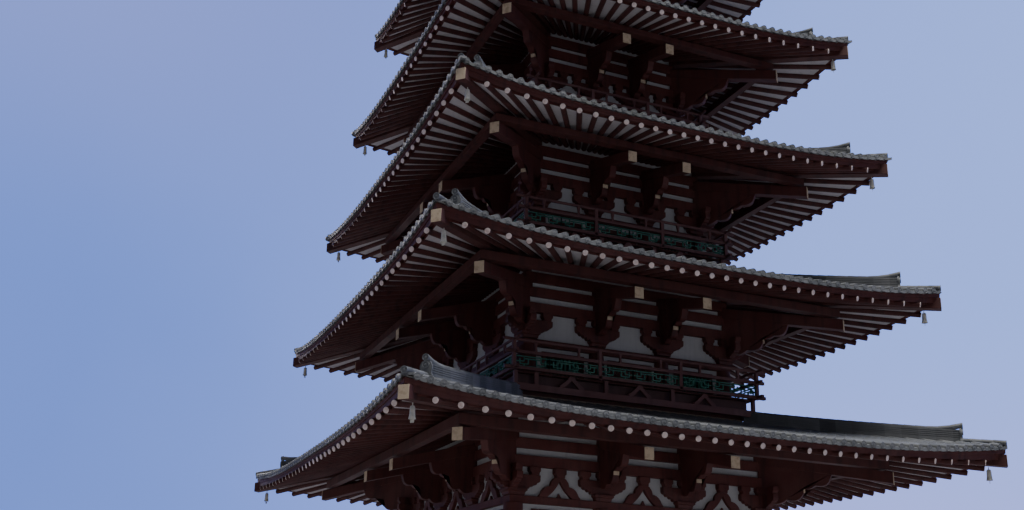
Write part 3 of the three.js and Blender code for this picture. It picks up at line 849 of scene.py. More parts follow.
@dataclass(frozen=True)
class Timbers:
    """Columns, beams, bearing blocks, cloud-shaped arms and tail rafters of one storey."""

    storey: Storey
    frieze: Frieze = Frieze()
    column_flats: int = 24
    column_steps: int = 8
    tail_height: float = 0.31
    tail_width: float = 0.26
    tail_drop: float = 0.32
    tail_past: float = 0.17
    tail_inside: float = 0.3
    strut_block: float = 0.17

    def wall(self, x: float, z: float, out: float) -> Point:
        """Returns a point at a height over the hip ends and a distance off the plaster that faces -Y."""
        return (x, -self.storey.face - out, self.storey.hip + z)

    def column(self, shape: Shape, x: float, y: float) -> None:
        """Adds one round column that narrows to its head."""
        storey = self.storey
        low = storey.floor + (0.05 if storey.number == 1 else 0.0)
        high = storey.hip + self.frieze.head[0] + 0.01
        profile = []
        for i in range(self.column_steps + 1):
            share = i / self.column_steps
            swell = 1.0 - 0.12 * max(0.0, share - 0.35) ** 2 / 0.42
            profile.append((storey.column * swell, low + (high - low) * share))
        shape.turn(profile, self.column_flats, (x, y))

    def ring_beam(self, shape: Shape, heights: Pair, out: float) -> None:
        """Adds one side of a beam that runs round the storey, between heights over the hip ends."""
        low, high = (self.storey.hip + z for z in heights)
        shape.mitred(oblong(self.storey.face - 0.04, self.storey.face + out, low, high))

    def bearing_block(self, shape: Shape, x: float, y: float) -> None:
        """Adds the dished block on a column."""
        foot, top = self.frieze.block_foot, self.frieze.block_top
        low, high = (self.storey.hip + z for z in self.frieze.block)
        lip, waist = low + 0.015, low + 0.11
        halves = [(foot, low), (foot, lip)]
        for a in np.radians([30, 60, 90]):
            halves.append((foot + (top - foot) * (1 - math.cos(a)), lip + (waist - lip) * math.sin(a)))
        halves.append((top, high))
        shape.loft([square(half, z, x, y) for half, z in halves])

    def wall_arm(self, shape: Shape, x: float) -> None:
        """Adds the cloud-shaped arm over a column, along the wall, with the three small blocks on it."""
        frieze = self.frieze
        half = min(frieze.arm_half, self.storey.bay / 2 - frieze.arm_space)
        scale = half / frieze.arm_half
        knots = ((0.38, -1.07), (0.49, -1.02), (0.60, -0.96))
        arcs = [((a * scale, z), 0.28, 4) for a, z in knots]
        right = lobes((0.29 * scale, frieze.block[1] - 0.01), *arcs, ((half, frieze.arm_edge), 0.24, 4))
        shape.plate(mirrored([*right, (half, frieze.seat)], x), (-0.03, frieze.depth + 0.04), self.wall)
        small = frieze.small_half * scale
        for middle in (-half + small, 0.0, half - small):
            self.small_block(shape, x + middle, small, frieze.seat, frieze.arm[1])

    def small_block(self, shape: Shape, x: float, half: float, low: float, high: float) -> None:
        """Adds a small dished block on an arm.

        Args:
            shape: What it goes into.
            x: Its middle.
            half: Half its width.
            low: Its foot over the hip ends.
            high: Its top over the hip ends.
        """
        foot = self.frieze.small_foot * half
        dish = lobes((foot, low + 0.015), ((half, low + 0.10), -0.20, 4))
        outline = mirrored([(foot, low - 0.002), *dish, (half, high)], x)
        shape.plate(outline, (-0.02, self.frieze.depth + 0.06), self.wall)

    def tail(self, shape: Shape, ends: Shape, stretch: float) -> None:
        """Adds a projecting cloud arm with the tail rafter on it, along the -Y direction.

        Args:
            shape: What the timbers go into.
            ends: What the painted ends go into.
            stretch: 1 square to a wall, or the square root of 2 along a diagonal.
        """
        storey = self.storey
        face, reach = storey.face, storey.purlin - storey.face
        end = storey.purlin + self.tail_past

        def middle(t: float) -> float:
            """Returns the height of the tail rafter's middle over the hip ends."""
            return -self.tail_drop + (storey.purlin - t) * storey.slope

        def at(t: float, z: float, across: float) -> Point:
            """Returns a point at a distance out and a height over the hip ends."""
            return (across, -t * stretch, storey.hip + z)

        low = self.frieze.arm[0]
        nose, shoulder, wall = face + 0.36 * reach, face + 0.58 * reach, face - 0.02
        chin = (face + 0.22 * reach, low + 0.07)
        brow = (nose + 0.10 * reach, low + 0.45)
        outline = [(wall, low)]
        outline += lobes((face + 0.08 * reach, low), (chin, 0.22, 5), ((nose, low + 0.25), 0.30, 6))
        outline += [(nose + 0.01, low + 0.40)]
        outline += lobes((nose - 0.06, low + 0.42), (brow, 0.25, 4), ((shoulder, low + 0.62), 0.28, 5))
        outline += [(shoulder + 0.04, middle(shoulder) - self.tail_height / 2 + 0.02), (wall, middle(wall))]
        half = self.frieze.arm_width / 2 - 0.02
        shape.plate(outline, (-half, half), at)
        heights = (storey.hip + low + 0.27, storey.hip + low + 0.38)
        ends.box((-half * 0.8, half * 0.8), (-(nose + 0.028) * stretch, -nose * stretch), heights)
        inner = face - self.tail_inside
        shape.beam(at(inner, middle(inner), 0), at(end, middle(end), 0), self.tail_width, self.tail_height)
        cap, tall = self.tail_width / 2 + 0.004, self.tail_height / 2 + 0.002
        heights = (storey.hip + middle(end) - tall, storey.hip + middle(end) + tall)
        ends.box((-cap, cap), (-end * stretch - 0.012, -end * stretch + 0.004), heights)

    def strut(self, shape: Shape, x: float) -> None:
        """Adds the inverted-V strut with flared feet between two brackets, the block on it and its pip."""
        low, high = self.frieze.block[0], self.frieze.arm[1]
        waist = ((0.27, high - 0.46), -0.12, 4)
        right = [(0.11, high - 0.22), (0.19, high - 0.27)]
        right += lobes((0.20, high - 0.29), waist, ((0.55, low + 0.09), -0.16, 6))
        right += [(0.62, low + 0.005), (0.36, low + 0.005)]
        right += lobes((0.27, low + 0.09), ((0.0, high - 0.32), -0.05, 5))
        shape.plate(mirrored(right, x), (-0.02, self.frieze.depth), self.wall)
        self.small_block(shape, x, self.strut_block, high - 0.24, high)
        pip = [(x - 0.07, low), (x + 0.07, low), (x, low + 0.13)]
        shape.plate(pip, (-0.02, 0.6 * self.frieze.depth), self.wall)

    def build(self) -> None:
        """Builds the storey's timbers in place of its plain frame."""
        storey, depth = self.storey, self.frieze.depth
        side, ends, corner, corner_ends = (Shape() for _ in range(4))
        for x in storey.columns[:-1]:
            self.column(side, x, storey.columns[0])
            self.bearing_block(side, x, storey.columns[0])
        for x in storey.columns:
            self.wall_arm(side, x)
        self.ring_beam(side, self.frieze.head, depth)
        self.ring_beam(side, self.frieze.bracket, depth + 0.02)
        for heights in self.frieze.upper:
            self.ring_beam(side, heights, depth - 0.02)
        for x in storey.columns[1:-1]:
            arm, arm_ends = Shape(), Shape()
            self.tail(arm, arm_ends, 1.0)
            side.join(arm, Matrix.Translation((x, 0, 0)))
            ends.join(arm_ends, Matrix.Translation((x, 0, 0)))
        self.tail(corner, corner_ends, DIAGONAL)
        if storey.number == 1:
            for x in (-storey.bay, 0.0, storey.bay):
                self.strut(side, x)
        whole = side.around()
        whole.join(corner.around(45))
        nodes = [f"frame_{storey.number}"] + ["ground_columns"] * (storey.number == 1)
        whole.piece(f"timbers_{storey.number}", VERMILION, Slot.VERMILION, nodes, 0.008)
        caps = ends.around()
        caps.join(corner_ends.around(45))
        caps.piece(f"timber_ends_{storey.number}", END_PAINT, Slot.ENDS, bevel=0.003)


class Leaves(Enum):
    """How a doorway's leaves stand."""

    CLOSED = "closed"
    OPEN = "open"


@dataclass(frozen=True)
class Openings:
    """Doors in the middle bays and barred windows in the side bays of one storey."""

    storey: Storey
    casing: float = 0.1
    proud: float = 0.06
    lap: float = 0.03
    bar: float = 0.06
    bar_pitch: float = 0.118
    window_top: float = -1.66
    window_share: float = 0.78
    door_share: float = 0.86
    sill: float = 0.06
    ground_sill: float = 1.35
    boards: int = 3
    rail: float = 0.07
    swing: float = 0.34

    @property
    def jamb(self) -> float:
        """How far the casing's uprights and its foot reach into an opening."""
        return self.casing * 0.8

    def sizes(self) -> tuple[Pair, Pair, float, float]:
        """Returns the heights of the windows and of the doors, and their widths."""
        storey = self.storey
        clear = storey.bay - 2 * storey.column
        top = storey.hip + self.window_top
        low = storey.floor + (self.ground_sill if storey.number == 1 else 2 * self.sill)
        widths = (self.window_share * clear, self.door_share * clear)
        return (low, top), (storey.floor + self.sill, top), *widths

    def surround(self, shape: Shape, x: float, width: float, heights: Pair) -> None:
        """Adds the timber casing on the edges of an opening.

        Args:
            shape: What it goes into.
            x: The opening's middle.
            width: Its width.
            heights: Its bottom and top.
        """
        face, half = self.storey.face, width / 2
        low, high = heights
        reach = half + self.lap
        for level in ((high - self.casing, high + self.lap), (low - self.lap, low + self.jamb)):
            shape.box((x - reach, x + reach), (-face - self.proud, -face + 0.2), level)
        for side in (-1, 1):
            across = (x + side * (half - self.jamb), x + side * reach)
            shape.box(across, (-face - self.proud + 0.012, -face + 0.19), heights)

    def window(self, shape: Shape, bars: Shape, x: float) -> None:
        """Adds a window's casing and its upright bars, set on edge, about a place along the side."""
        heights, _, width, _ = self.sizes()
        self.surround(shape, x, width, heights)
        clear, half = width - 2 * self.jamb, self.bar / 2
        count = max(3, round(clear / self.bar_pitch))
        y = -self.storey.face + 0.06
        for i in range(count):
            middle = x - clear / 2 + (i + 0.5) * clear / count
            ring = [(middle - half, y), (middle, y - half), (middle + half, y), (middle, y + half)]
            bars.loft([[(*corner, z) for corner in ring] for z in (heights[0] + 0.02, heights[1] - 0.02)])

    def leaf(self, shape: Shape, nails: Shape, x: Pair, heights: Pair, front: float) -> None:
        """Adds one door leaf with rails, boards and nail heads, facing -Y.

        Args:
            shape: What the leaf goes into.
            nails: What the bronze nail heads go into.
            x: Its limits along the wall.
            heights: Its bottom and top.
            front: Where its boards' front lies in Y.
        """
        low, high = heights
        width = (x[1] - x[0]) / self.boards
        for i in range(self.boards):
            limits = (x[0] + i * width + 0.004, x[0] + (i + 1) * width - 0.004)
            shape.box(limits, (front, front + 0.05), heights)
        for share in (0.04, 0.36, 0.66, 0.96):
            middle = low + (high - low) * share
            limits = (max(low, middle - self.rail), min(high, middle + self.rail))
            shape.box(x, (front - 0.022, front + 0.005), limits)
            for i in range(4):
                at = x[0] + (i + 0.5) * (x[1] - x[0]) / 4
                nails.rod((at, front - 0.05, middle), (at, front - 0.02, middle), (0.012, 0.03), 8)

    def door(self, shape: Shape, nails: Shape, leaves: Leaves) -> None:
        """Adds a doorway with its two leaves, shut or swung inwards.

        Args:
            shape: What the timbers go into.
            nails: What the nail heads go into.
            leaves: How the leaves stand.
        """
        storey = self.storey
        _, heights, _, width = self.sizes()
        self.surround(shape, 0.0, width, heights)
        way = width / 2 - self.jamb
        inner = (heights[0] + self.jamb, heights[1] - self.casing)
        if leaves is Leaves.CLOSED:
            for limits in ((-way, -0.006), (0.006, way)):
                self.leaf(shape, nails, limits, inner, -storey.face + 0.04)
            return
        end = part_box("south_door")[1].y + storey.face - self.swing
        for side in (-1, 1):
            open_leaf, open_nails = Shape(), Shape()
            self.leaf(open_leaf, open_nails, (0.02, end), inner, -0.03)
            mirror = Matrix.Scale(side, 4, (1, 0, 0))
            place = Matrix.Translation((side * (way - 0.03), -storey.face + self.swing, 0))
            full = place @ mirror @ Matrix.Rotation(math.radians(90), 4, "Z")
            shape.join(open_leaf, full)
            nails.join(open_nails, full)

    def waist_rails(self) -> Shape:
        """Returns the rails along the foot of the ground storey's walls and under its windows."""
        storey, rails = self.storey, Shape()
        waist = storey.floor + self.ground_sill - 0.16
        for x in (-storey.bay, storey.bay):
            across = (x - storey.bay / 2, x + storey.bay / 2)
            for heights in ((waist, waist + 0.13), (storey.floor, storey.floor + 0.2)):
                rails.box(across, (-storey.face - 0.07, -storey.face + 0.02), heights)
        return rails.around()

    def build(self) -> None:
        """Builds the storey's windows and doors."""
        number, bay = self.storey.number, self.storey.bay
        ground = number == 1
        side, bars, doors, nails = (Shape() for _ in range(4))
        for x in (-bay, bay):
            self.window(side, bars, x)
        whole = side.around()
        if ground:
            whole.join(self.waist_rails())
        whole.piece(f"window_casings_{number}", VERMILION, Slot.VERMILION, bevel=0.005)
        bars.around().piece(f"window_bars_{number}", GREEN, Slot.GREEN)
        for quarter, name in zip(QUARTERS, SIDE_NAMES):
            one, one_nails = Shape(), Shape()
            self.door(one, one_nails, Leaves.OPEN if ground and name == "south" else Leaves.CLOSED)
            turn = Matrix.Rotation(math.radians(quarter), 4, "Z")
            doors.join(one, turn)
            nails.join(one_nails, turn)
        replaced = [f"{name}_door" for name in SIDE_NAMES] if ground else []
        doors.piece(f"doors_{number}", DOOR_RED, Slot.VERMILION, replaced, 0.004)
        nails.piece(f"door_nails_{number}", BRONZE, Slot.BRONZE)


@dataclass(frozen=True)
class Eaves:
    """Fan rafters, the boards and battens on them, the purlin, the hip rafters and the bells."""

    storey: Storey
    rafter: float = 0.078
    board_line: float = 1.4
    stop_in: float = 0.19
    batten: float = 0.20
    fan: float = 30.0
    corner_gap: float = 0.70
    set_back: float = 0.03
    purlin_width: float = 0.24
    purlin_drop: float = 0.165
    hip_width: float = 0.27
    hip_height: float = 0.32
    bell_in: float = 0.32
    stations: int = 25

    def at(self, u: float, t: float, z: float) -> Point:
        """Returns a point of the side that faces -Y, its height over the rafters' undersides."""
        return (u * t, -t, self.storey.under(u, t) + z)

    def over(self, u: float, t: float, share: float) -> Point:
        """Returns a point of the same side, from 0 on the rafters to 1 under the tiles."""
        low = self.storey.under(u, t) + 2 * self.rafter - 0.01
        return (u * t, -t, low + share * (self.storey.foot(u, t) - low))

    def fan_places(self) -> list[float]:
        """Returns the direction of each rafter of a side, as its share of the way to the corner."""
        storey = self.storey
        limit = (storey.eave - self.corner_gap) / storey.eave
        widest = math.tan(math.radians(self.fan))
        steps = np.linspace(-1, 1, storey.rafters)
        return [limit * math.tan(math.radians(self.fan * float(step))) / widest for step in steps]

    def rafters(self) -> None:
        """Builds the rafters with their painted ends."""
        storey, radius = self.storey, self.rafter
        side, ends = Shape(), Shape()
        outer = storey.eave - self.set_back
        for u in self.fan_places():
            start, end = (self.at(u, t, radius) for t in (storey.face - 0.02, outer))
            side.rod(start, end, radius, 12)
            way = (Vector(end) - Vector(start)).normalized()
            near, tip = (tuple(Vector(end) + way * step) for step in (-0.004, 0.016))
            ends.rod(near, tip, (radius * 0.97, radius * 0.86), 16)
        number = storey.number
        side.around().piece(f"rafters_{number}", RAFTER_RED, Slot.RAFTERS, [f"eaves_{number}"])
        ends.around().piece(f"rafter_ends_{number}", DISC_PAINT, Slot.ENDS)

    def sweep(self, shape: Shape, section: Sequence[Pair], place: Placing) -> None:
        """Adds one side of a strip that follows the eave, mitred at the corners.

        Args:
            shape: What it goes into.
            section: Distance from the axis of each corner, and its height as place takes it.
            place: Gives the point for a share of the way to the corner, a distance and a height.
        """
        ways = np.linspace(-1, 1, self.stations)
        shape.loft([[place(u, t, z) for t, z in section] for u in ways])

    def boards(self) -> None:
        """Builds the white boards on the rafters, and the battens over the rafter ends."""
        storey, radius = self.storey, self.rafter
        side, battens = Shape(), Shape()
        outer, eave, back = storey.eave - self.stop_in, storey.eave, storey.eave - self.batten
        top = self.board_line * radius
        self.sweep(side, oblong(storey.face - 0.03, outer, top, top + 0.03), self.at)
        self.sweep(battens, oblong(outer - 0.01, outer + 0.03, 1.15 * radius, 2.1 * radius), self.at)
        self.sweep(battens, [(back, 0.0), (eave - 0.05, 0.0), (eave - 0.04, 0.62), (back, 0.62)], self.over)
        self.sweep(battens, [(back, 0.58), (eave - 0.010, 0.58), (eave, 1.02), (back, 1.02)], self.over)
        number = storey.number
        side.around().piece(f"soffit_boards_{number}", SOFFIT, Slot.PLASTER)
        battens.around().piece(f"eave_battens_{number}", VERMILION, Slot.VERMILION, bevel=0.004)

    def purlin(self) -> None:
        """Builds the purlin on the tail rafters and the hip rafters with their painted ends."""
        storey = self.storey
        side, hip, ends = Shape(), Shape(), Shape()
        outer = storey.purlin + self.purlin_width / 2
        inner = outer - self.purlin_width
        low = storey.hip - self.purlin_drop + storey.slope * (self.purlin_width / 2 + 0.085)
        high = storey.under(0.0, outer)
        side.mitred([(inner, low), (outer, low), (outer, high), (inner, high + 0.06)])
        half, wall, tip = self.hip_height / 2, (storey.face - 0.02) * DIAGONAL, storey.eave * DIAGONAL
        wall_middle = storey.hip + storey.UNDER_WALL + 2 * self.rafter - half + 0.04
        hip.beam((0, -wall, wall_middle), (0, -tip, storey.hip), self.hip_width, self.hip_height)
        cap, tall = self.hip_width / 2 - 0.004, half - 0.004
        ends.box((-cap, cap), (-tip - 0.007, -tip + 0.006), (storey.hip - tall, storey.hip + tall))
        whole = side.around()
        whole.join(hip.around(45))
        whole.piece(f"purlin_and_hips_{storey.number}", RAFTER_RED, Slot.RAFTERS, bevel=0.008)
        ends.around(45).piece(f"hip_ends_{storey.number}", END_PAINT, Slot.ENDS, bevel=0.004)

    def bells(self) -> None:
        """Builds the wind bell under each corner, with its hook and clapper."""
        bell = Shape()
        x, y = place = (0.0, -(self.storey.eave - self.bell_in) * DIAGONAL)
        top = self.storey.hip - self.hip_height / 2
        crown = top - 0.05
        mouth = crown - 0.285
        clapper = mouth - 0.08
        outside = [(0.012, crown + 0.012), (0.045, crown), (0.058, crown - 0.03), (0.062, crown - 0.16)]
        outside += [(0.070, mouth + 0.05), (0.082, mouth)]
        inside = [(0.072, mouth), (0.054, crown - 0.16), (0.048, crown - 0.03), (0.010, crown - 0.012)]
        bell.turn([*outside, *inside], 20, place)
        for head, foot, radius, sides in ((top + 0.02, crown, 0.012, 8), (crown - 0.02, clapper, 0.006, 6)):
            bell.turn([(0.001, head), (radius, head), (radius, foot), (0.001, foot)], sides, place)
        bell.box((x - 0.045, x + 0.045), (y - 0.004, y + 0.004), (clapper - 0.002, clapper + 0.06))
        bell.around(45).piece(f"wind_bells_{self.storey.number}", BELL_PATINA, Slot.BRONZE)

    def build(self) -> None:
        """Builds everything under the tiles."""
        self.rafters()
        self.boards()
        self.purlin()
        self.bells()


@dataclass(frozen=True)
class TiledRoof:
    """The clay roof of one storey: rows of cover tiles over pans, end tiles, and hip ridges.

    Rows that lie alike on all four sides get numbers of their own, which the clay's tones follow.
    """

    storey: Storey
    pitch: float = 0.3
    cover: float = 0.078
    wide: float = 1.04
    narrow: float = 0.95
    course: float = 0.33
    shortest: float = 0.1
    pan_sunk: float = 0.10
    pan_half: float = 0.12
    pan_lip: float = 0.018
    bed_sunk: float = 0.13
    bed_thick: float = 0.03
    ridge_half: float = 0.125
    layers: int = 5
    layer: float = 0.052
    layer_in: float = 0.022
    ridge_round: float = 0.085
    ridge_tile: float = 0.2
    ridge_inset: float = 0.74
    ridge_start: float = 0.04
    sweep: float = 0.14
    sweep_length: float = 0.62
    jut: float = 0.03
    lower_sunk: float = -0.025
    lower_in: float = 0.085

    COVER_ROWS = 40
    PAN_ROWS = 240
    RIDGE_BODY_ROW = 900
    RIDGE_ROW = 910
    DISC_ROW = 930

    def top(self, x: float, t: float) -> float:
        """Returns the height of the tiles' tops at a place on the side that faces -Y."""
        return self.storey.tiles(min(1.0, abs(x) / t), t)

    def diagonal(self, t: float) -> float:
        """Returns the height of the tiles' tops on a hip."""
        return self.storey.tiles(1.0, t)

    def tile_row(self, shape: Shape, row: float, start: float, end: float, section: Tiling) -> None:
        """Adds one row of tiles from the eave up to the ridge or the wall, unless it is too short.

        Args:
            shape: What it goes into.
            row: Its own number.
            start: Its distance from the axis at the eave.
            end: The distance at the upper end.
            section: Gives the outline at a distance, for a tile's lower end or its upper one.
        """
        if start - end < self.shortest:
            return
        rings, along = [], []
        for i in range(max(1, math.ceil((start - end) / self.course))):
            upper = max(end, start - (i + 1) * self.course)
            rings += [section(start - i * self.course, True), section(upper + 0.002, False)]
            along += [i + 0.02, i + 0.98]
        shape.loft(rings, smooth=True, along=along, row=row)

    def cover_row(self, shape: Shape, x: float, row: float) -> None:
        """Adds one row of round tiles at a place along the side."""
        turns = np.radians(np.linspace(-10, 190, 7))

        def section(t: float, lower: bool) -> list[Point]:
            """Returns the outline of a round tile."""
            middle = self.top(x, t) - self.cover * self.wide
            radius = self.cover * (self.wide if lower else self.narrow)
            return hoop((x, -t, middle), radius, turns)

        end = max(self.storey.roof_inside - 0.02, abs(x) + 0.02)
        self.tile_row(shape, row, self.storey.edge - 0.004, end, section)

    def pan_row(self, shape: Shape, x: float, row: float) -> None:
        """Adds one row of hollow tiles about a place between two cover rows."""
        half = self.pan_half
        hollow = [(-half, 0.022), (0.0, -0.018), (half, 0.022), (half, -0.036), (-half, -0.036)]

        def section(t: float, lower: bool) -> list[Point]:
            """Returns the outline of a hollow tile."""
            base = self.top(x, t) - self.pan_sunk + (self.pan_lip if lower else 0.0)
            return [(x + a, -t, base + z) for a, z in hollow]

        end = max(self.storey.roof_inside - 0.02, abs(x) - half)
        self.tile_row(shape, row, self.storey.edge - 0.03, end, section)

    def end_tile(self, shape: Shape, x: float) -> None:
        """Adds the round end tile of a cover row, with a rim, petals and a boss."""
        t, radius = self.storey.edge, self.cover * self.wide
        middle = self.top(x, t) - radius
        steps = ((0.10, 1.0), (0.0, 1.0), (0.0, 0.8), (0.012, 0.74), (0.006, 0.34), (-0.004, 0.06))
        turns = np.radians(np.arange(10) * 36.0)
        shape.loft([hoop((x, back - t, middle), share * radius, turns) for back, share in steps], row=x)

    def end_pan(self, shape: Shape, x: float) -> None:
        """Adds the hanging lip at the end of a pan row."""
        t = self.storey.edge - 0.012
        half = self.pitch / 2 - 0.05
        rings = []
        for share in np.linspace(-1, 1, 5):
            at, rise = x + share * half, 0.02 * share**2
            top = self.top(at, t) - self.pan_sunk + 0.005 + rise
            low = self.storey.foot(at / t, t) + 0.004 + rise
            rings.append([(at, -t, top), (at, -t, low), (at, -t + 0.03, low), (at, -t + 0.03, top)])
        shape.loft(rings, row=x)

    def bed(self, shape: Shape) -> None:
        """Adds one side of the boards and clay under the tiles."""
        storey = self.storey
        places = [storey.edge - 0.06, storey.eave - 0.3]
        places += list(np.linspace(storey.eave - 1.0, storey.roof_inside, 7))
        rings = []
        for u in np.linspace(-1, 1, 17):
            upper = [(u * t, -t, storey.tiles(u, t) - self.bed_sunk) for t in places]
            rings.append(upper + [(x, y, z - self.bed_thick) for x, y, z in reversed(upper)])
        shape.loft(rings)

    def ridge_body(self, shape: Shape, start: float, end: float) -> None:
        """Adds the flat tiles of a hip ridge, laid in layers along the -Y direction from start to end."""
        half = self.ridge_half
        narrow = half - self.layer_in
        right = [(half, -0.14)]
        for i in range(self.layers):
            low, high = i * self.layer + 0.006, (i + 1) * self.layer
            right += [(half, low), (half, high - 0.012), (narrow, high - 0.012), (narrow, high + 0.006)]
        distances = np.linspace(start, end, 17)
        rings = [[(a, -t * DIAGONAL, self.diagonal(t) + z) for a, z in mirrored(right)] for t in distances]
        shape.loft(rings, along=distances / 0.3, row=self.RIDGE_BODY_ROW)

    def ridge_row(self, shape: Shape, start: float, end: float, height: float, sweep: float) -> None:
        """Adds a row of round tiles along a hip, with a rimmed disc on its lower end.

        Args:
            shape: What it goes into.
            start: The distance from the axis of the upper end.
            end: The distance of the lower end.
            height: Its middle over the tiles.
            sweep: How far its lower end rises.
        """
        count = max(2, round((end - start) / self.ridge_tile))
        turns = np.radians(np.linspace(-40, 220, 11))
        rings, along = [], []
        for i in range(count + 1):
            t = start + (end - start) * i / count
            share = max(0.0, 1.0 - (end - t) / self.sweep_length)
            middle = self.diagonal(t) + height + sweep * share**2
            for step in (-0.004, 0.004) if 0 < i < count else (0.0,):
                radius = self.ridge_round * (0.97 if step < 0 or i == count else 1.03)
                rings.append(hoop((0.0, -(t + step) * DIAGONAL, middle), radius, turns))
                along.append(i + (0.02 if step >= 0 else -0.02))
        shape.loft(rings, smooth=True, along=along, row=self.RIDGE_ROW + height)
        self.disc(shape, end * DIAGONAL, self.diagonal(end) + height + sweep)

    def disc(self, shape: Shape, out: float, z: float) -> None:
        """Adds a round end tile with a rim and a boss, which faces down a hip at a distance and a height."""
        turns = np.radians(np.arange(16) * 22.5)
        steps = [(-0.03, 1.0), (0.03, 1.0), (0.03, 0.80), (0.014, 0.72)]
        steps += [(0.014, 0.40), (0.030, 0.26), (0.032, 0.03)]
        rings = [hoop((0.0, -(out + step), z), share * self.ridge_round, turns) for step, share in steps]
        shape.loft(rings, row=self.DISC_ROW)

    def ridge_end(self, shape: Shape, t: float) -> None:
        """Adds the plumb plate that closes a hip ridge's flat layers, with a smaller one and a disc on it."""
        out, foot = t * DIAGONAL, self.diagonal(t) - 0.10
        tall = self.layers * self.layer
        high, half = tall + 0.10, self.ridge_half + 0.03
        brow, crown = ((half - 0.01, 0.22), -0.16, 4), ((half - 0.03, high), 0.10, 4)
        right = lobes((half + 0.03, 0.05), brow, crown, ((0.06, high + 0.06), 0.15, 3))
        outline = mirrored([(half + 0.03, 0.0), *right[:-1]])

        def at(a: float, z: float, depth: float) -> Point:
            """Returns a point of a plate across the hip."""
            return (a, -(out + depth), foot + z)

        shape.plate(outline, (-0.02, 0.035), at)
        shape.plate([(a * 0.8, 0.04 + z * 0.8) for a, z in outline], (0.03, 0.05), at)
        self.disc(shape, out + 0.04, self.diagonal(t) + 0.5 * tall + 0.09)

    def build(self) -> None:
        """Builds the roof in place of its plain solid."""
        storey, number = self.storey, self.storey.number
        covers, pans, edge, bed, ridge = (Shape() for _ in range(5))
        count = int((storey.edge - 0.12) / self.pitch)
        for i in range(-count, count + 1):
            x = i * self.pitch
            self.cover_row(covers, x, self.COVER_ROWS + i)
            if abs(x) < storey.edge - 0.12:
                self.end_tile(edge, x)
            middle = x + self.pitch / 2
            if abs(middle) < storey.edge - 0.05:
                self.pan_row(pans, middle, self.PAN_ROWS + i)
                self.end_pan(edge, middle)
        self.bed(bed)
        covers.around().piece(f"cover_tiles_{number}", CLAY, Slot.TILE, [f"roof_{number}"])
        pans.around().piece(f"pan_tiles_{number}", CLAY, Slot.TILE)
        edge.around().piece(f"eave_tiles_{number}", CLAY, Slot.TILE)
        bed.around().piece(f"roof_bed_{number}", BED, Slot.TILE)
        start = storey.roof_inside + (0.0 if number == STOREY_COUNT else self.ridge_start)
        end = storey.eave - self.ridge_inset
        self.ridge_body(ridge, start, end)
        self.ridge_end(ridge, end)
        self.ridge_row(ridge, start, end + self.jut, self.layers * self.layer - 0.005, self.sweep)
        self.ridge_row(ridge, end - 0.05, storey.edge - self.lower_in, self.lower_sunk, 0.0)
        ridge.around(45).piece(f"hip_ridges_{number}", CLAY, Slot.TILE)


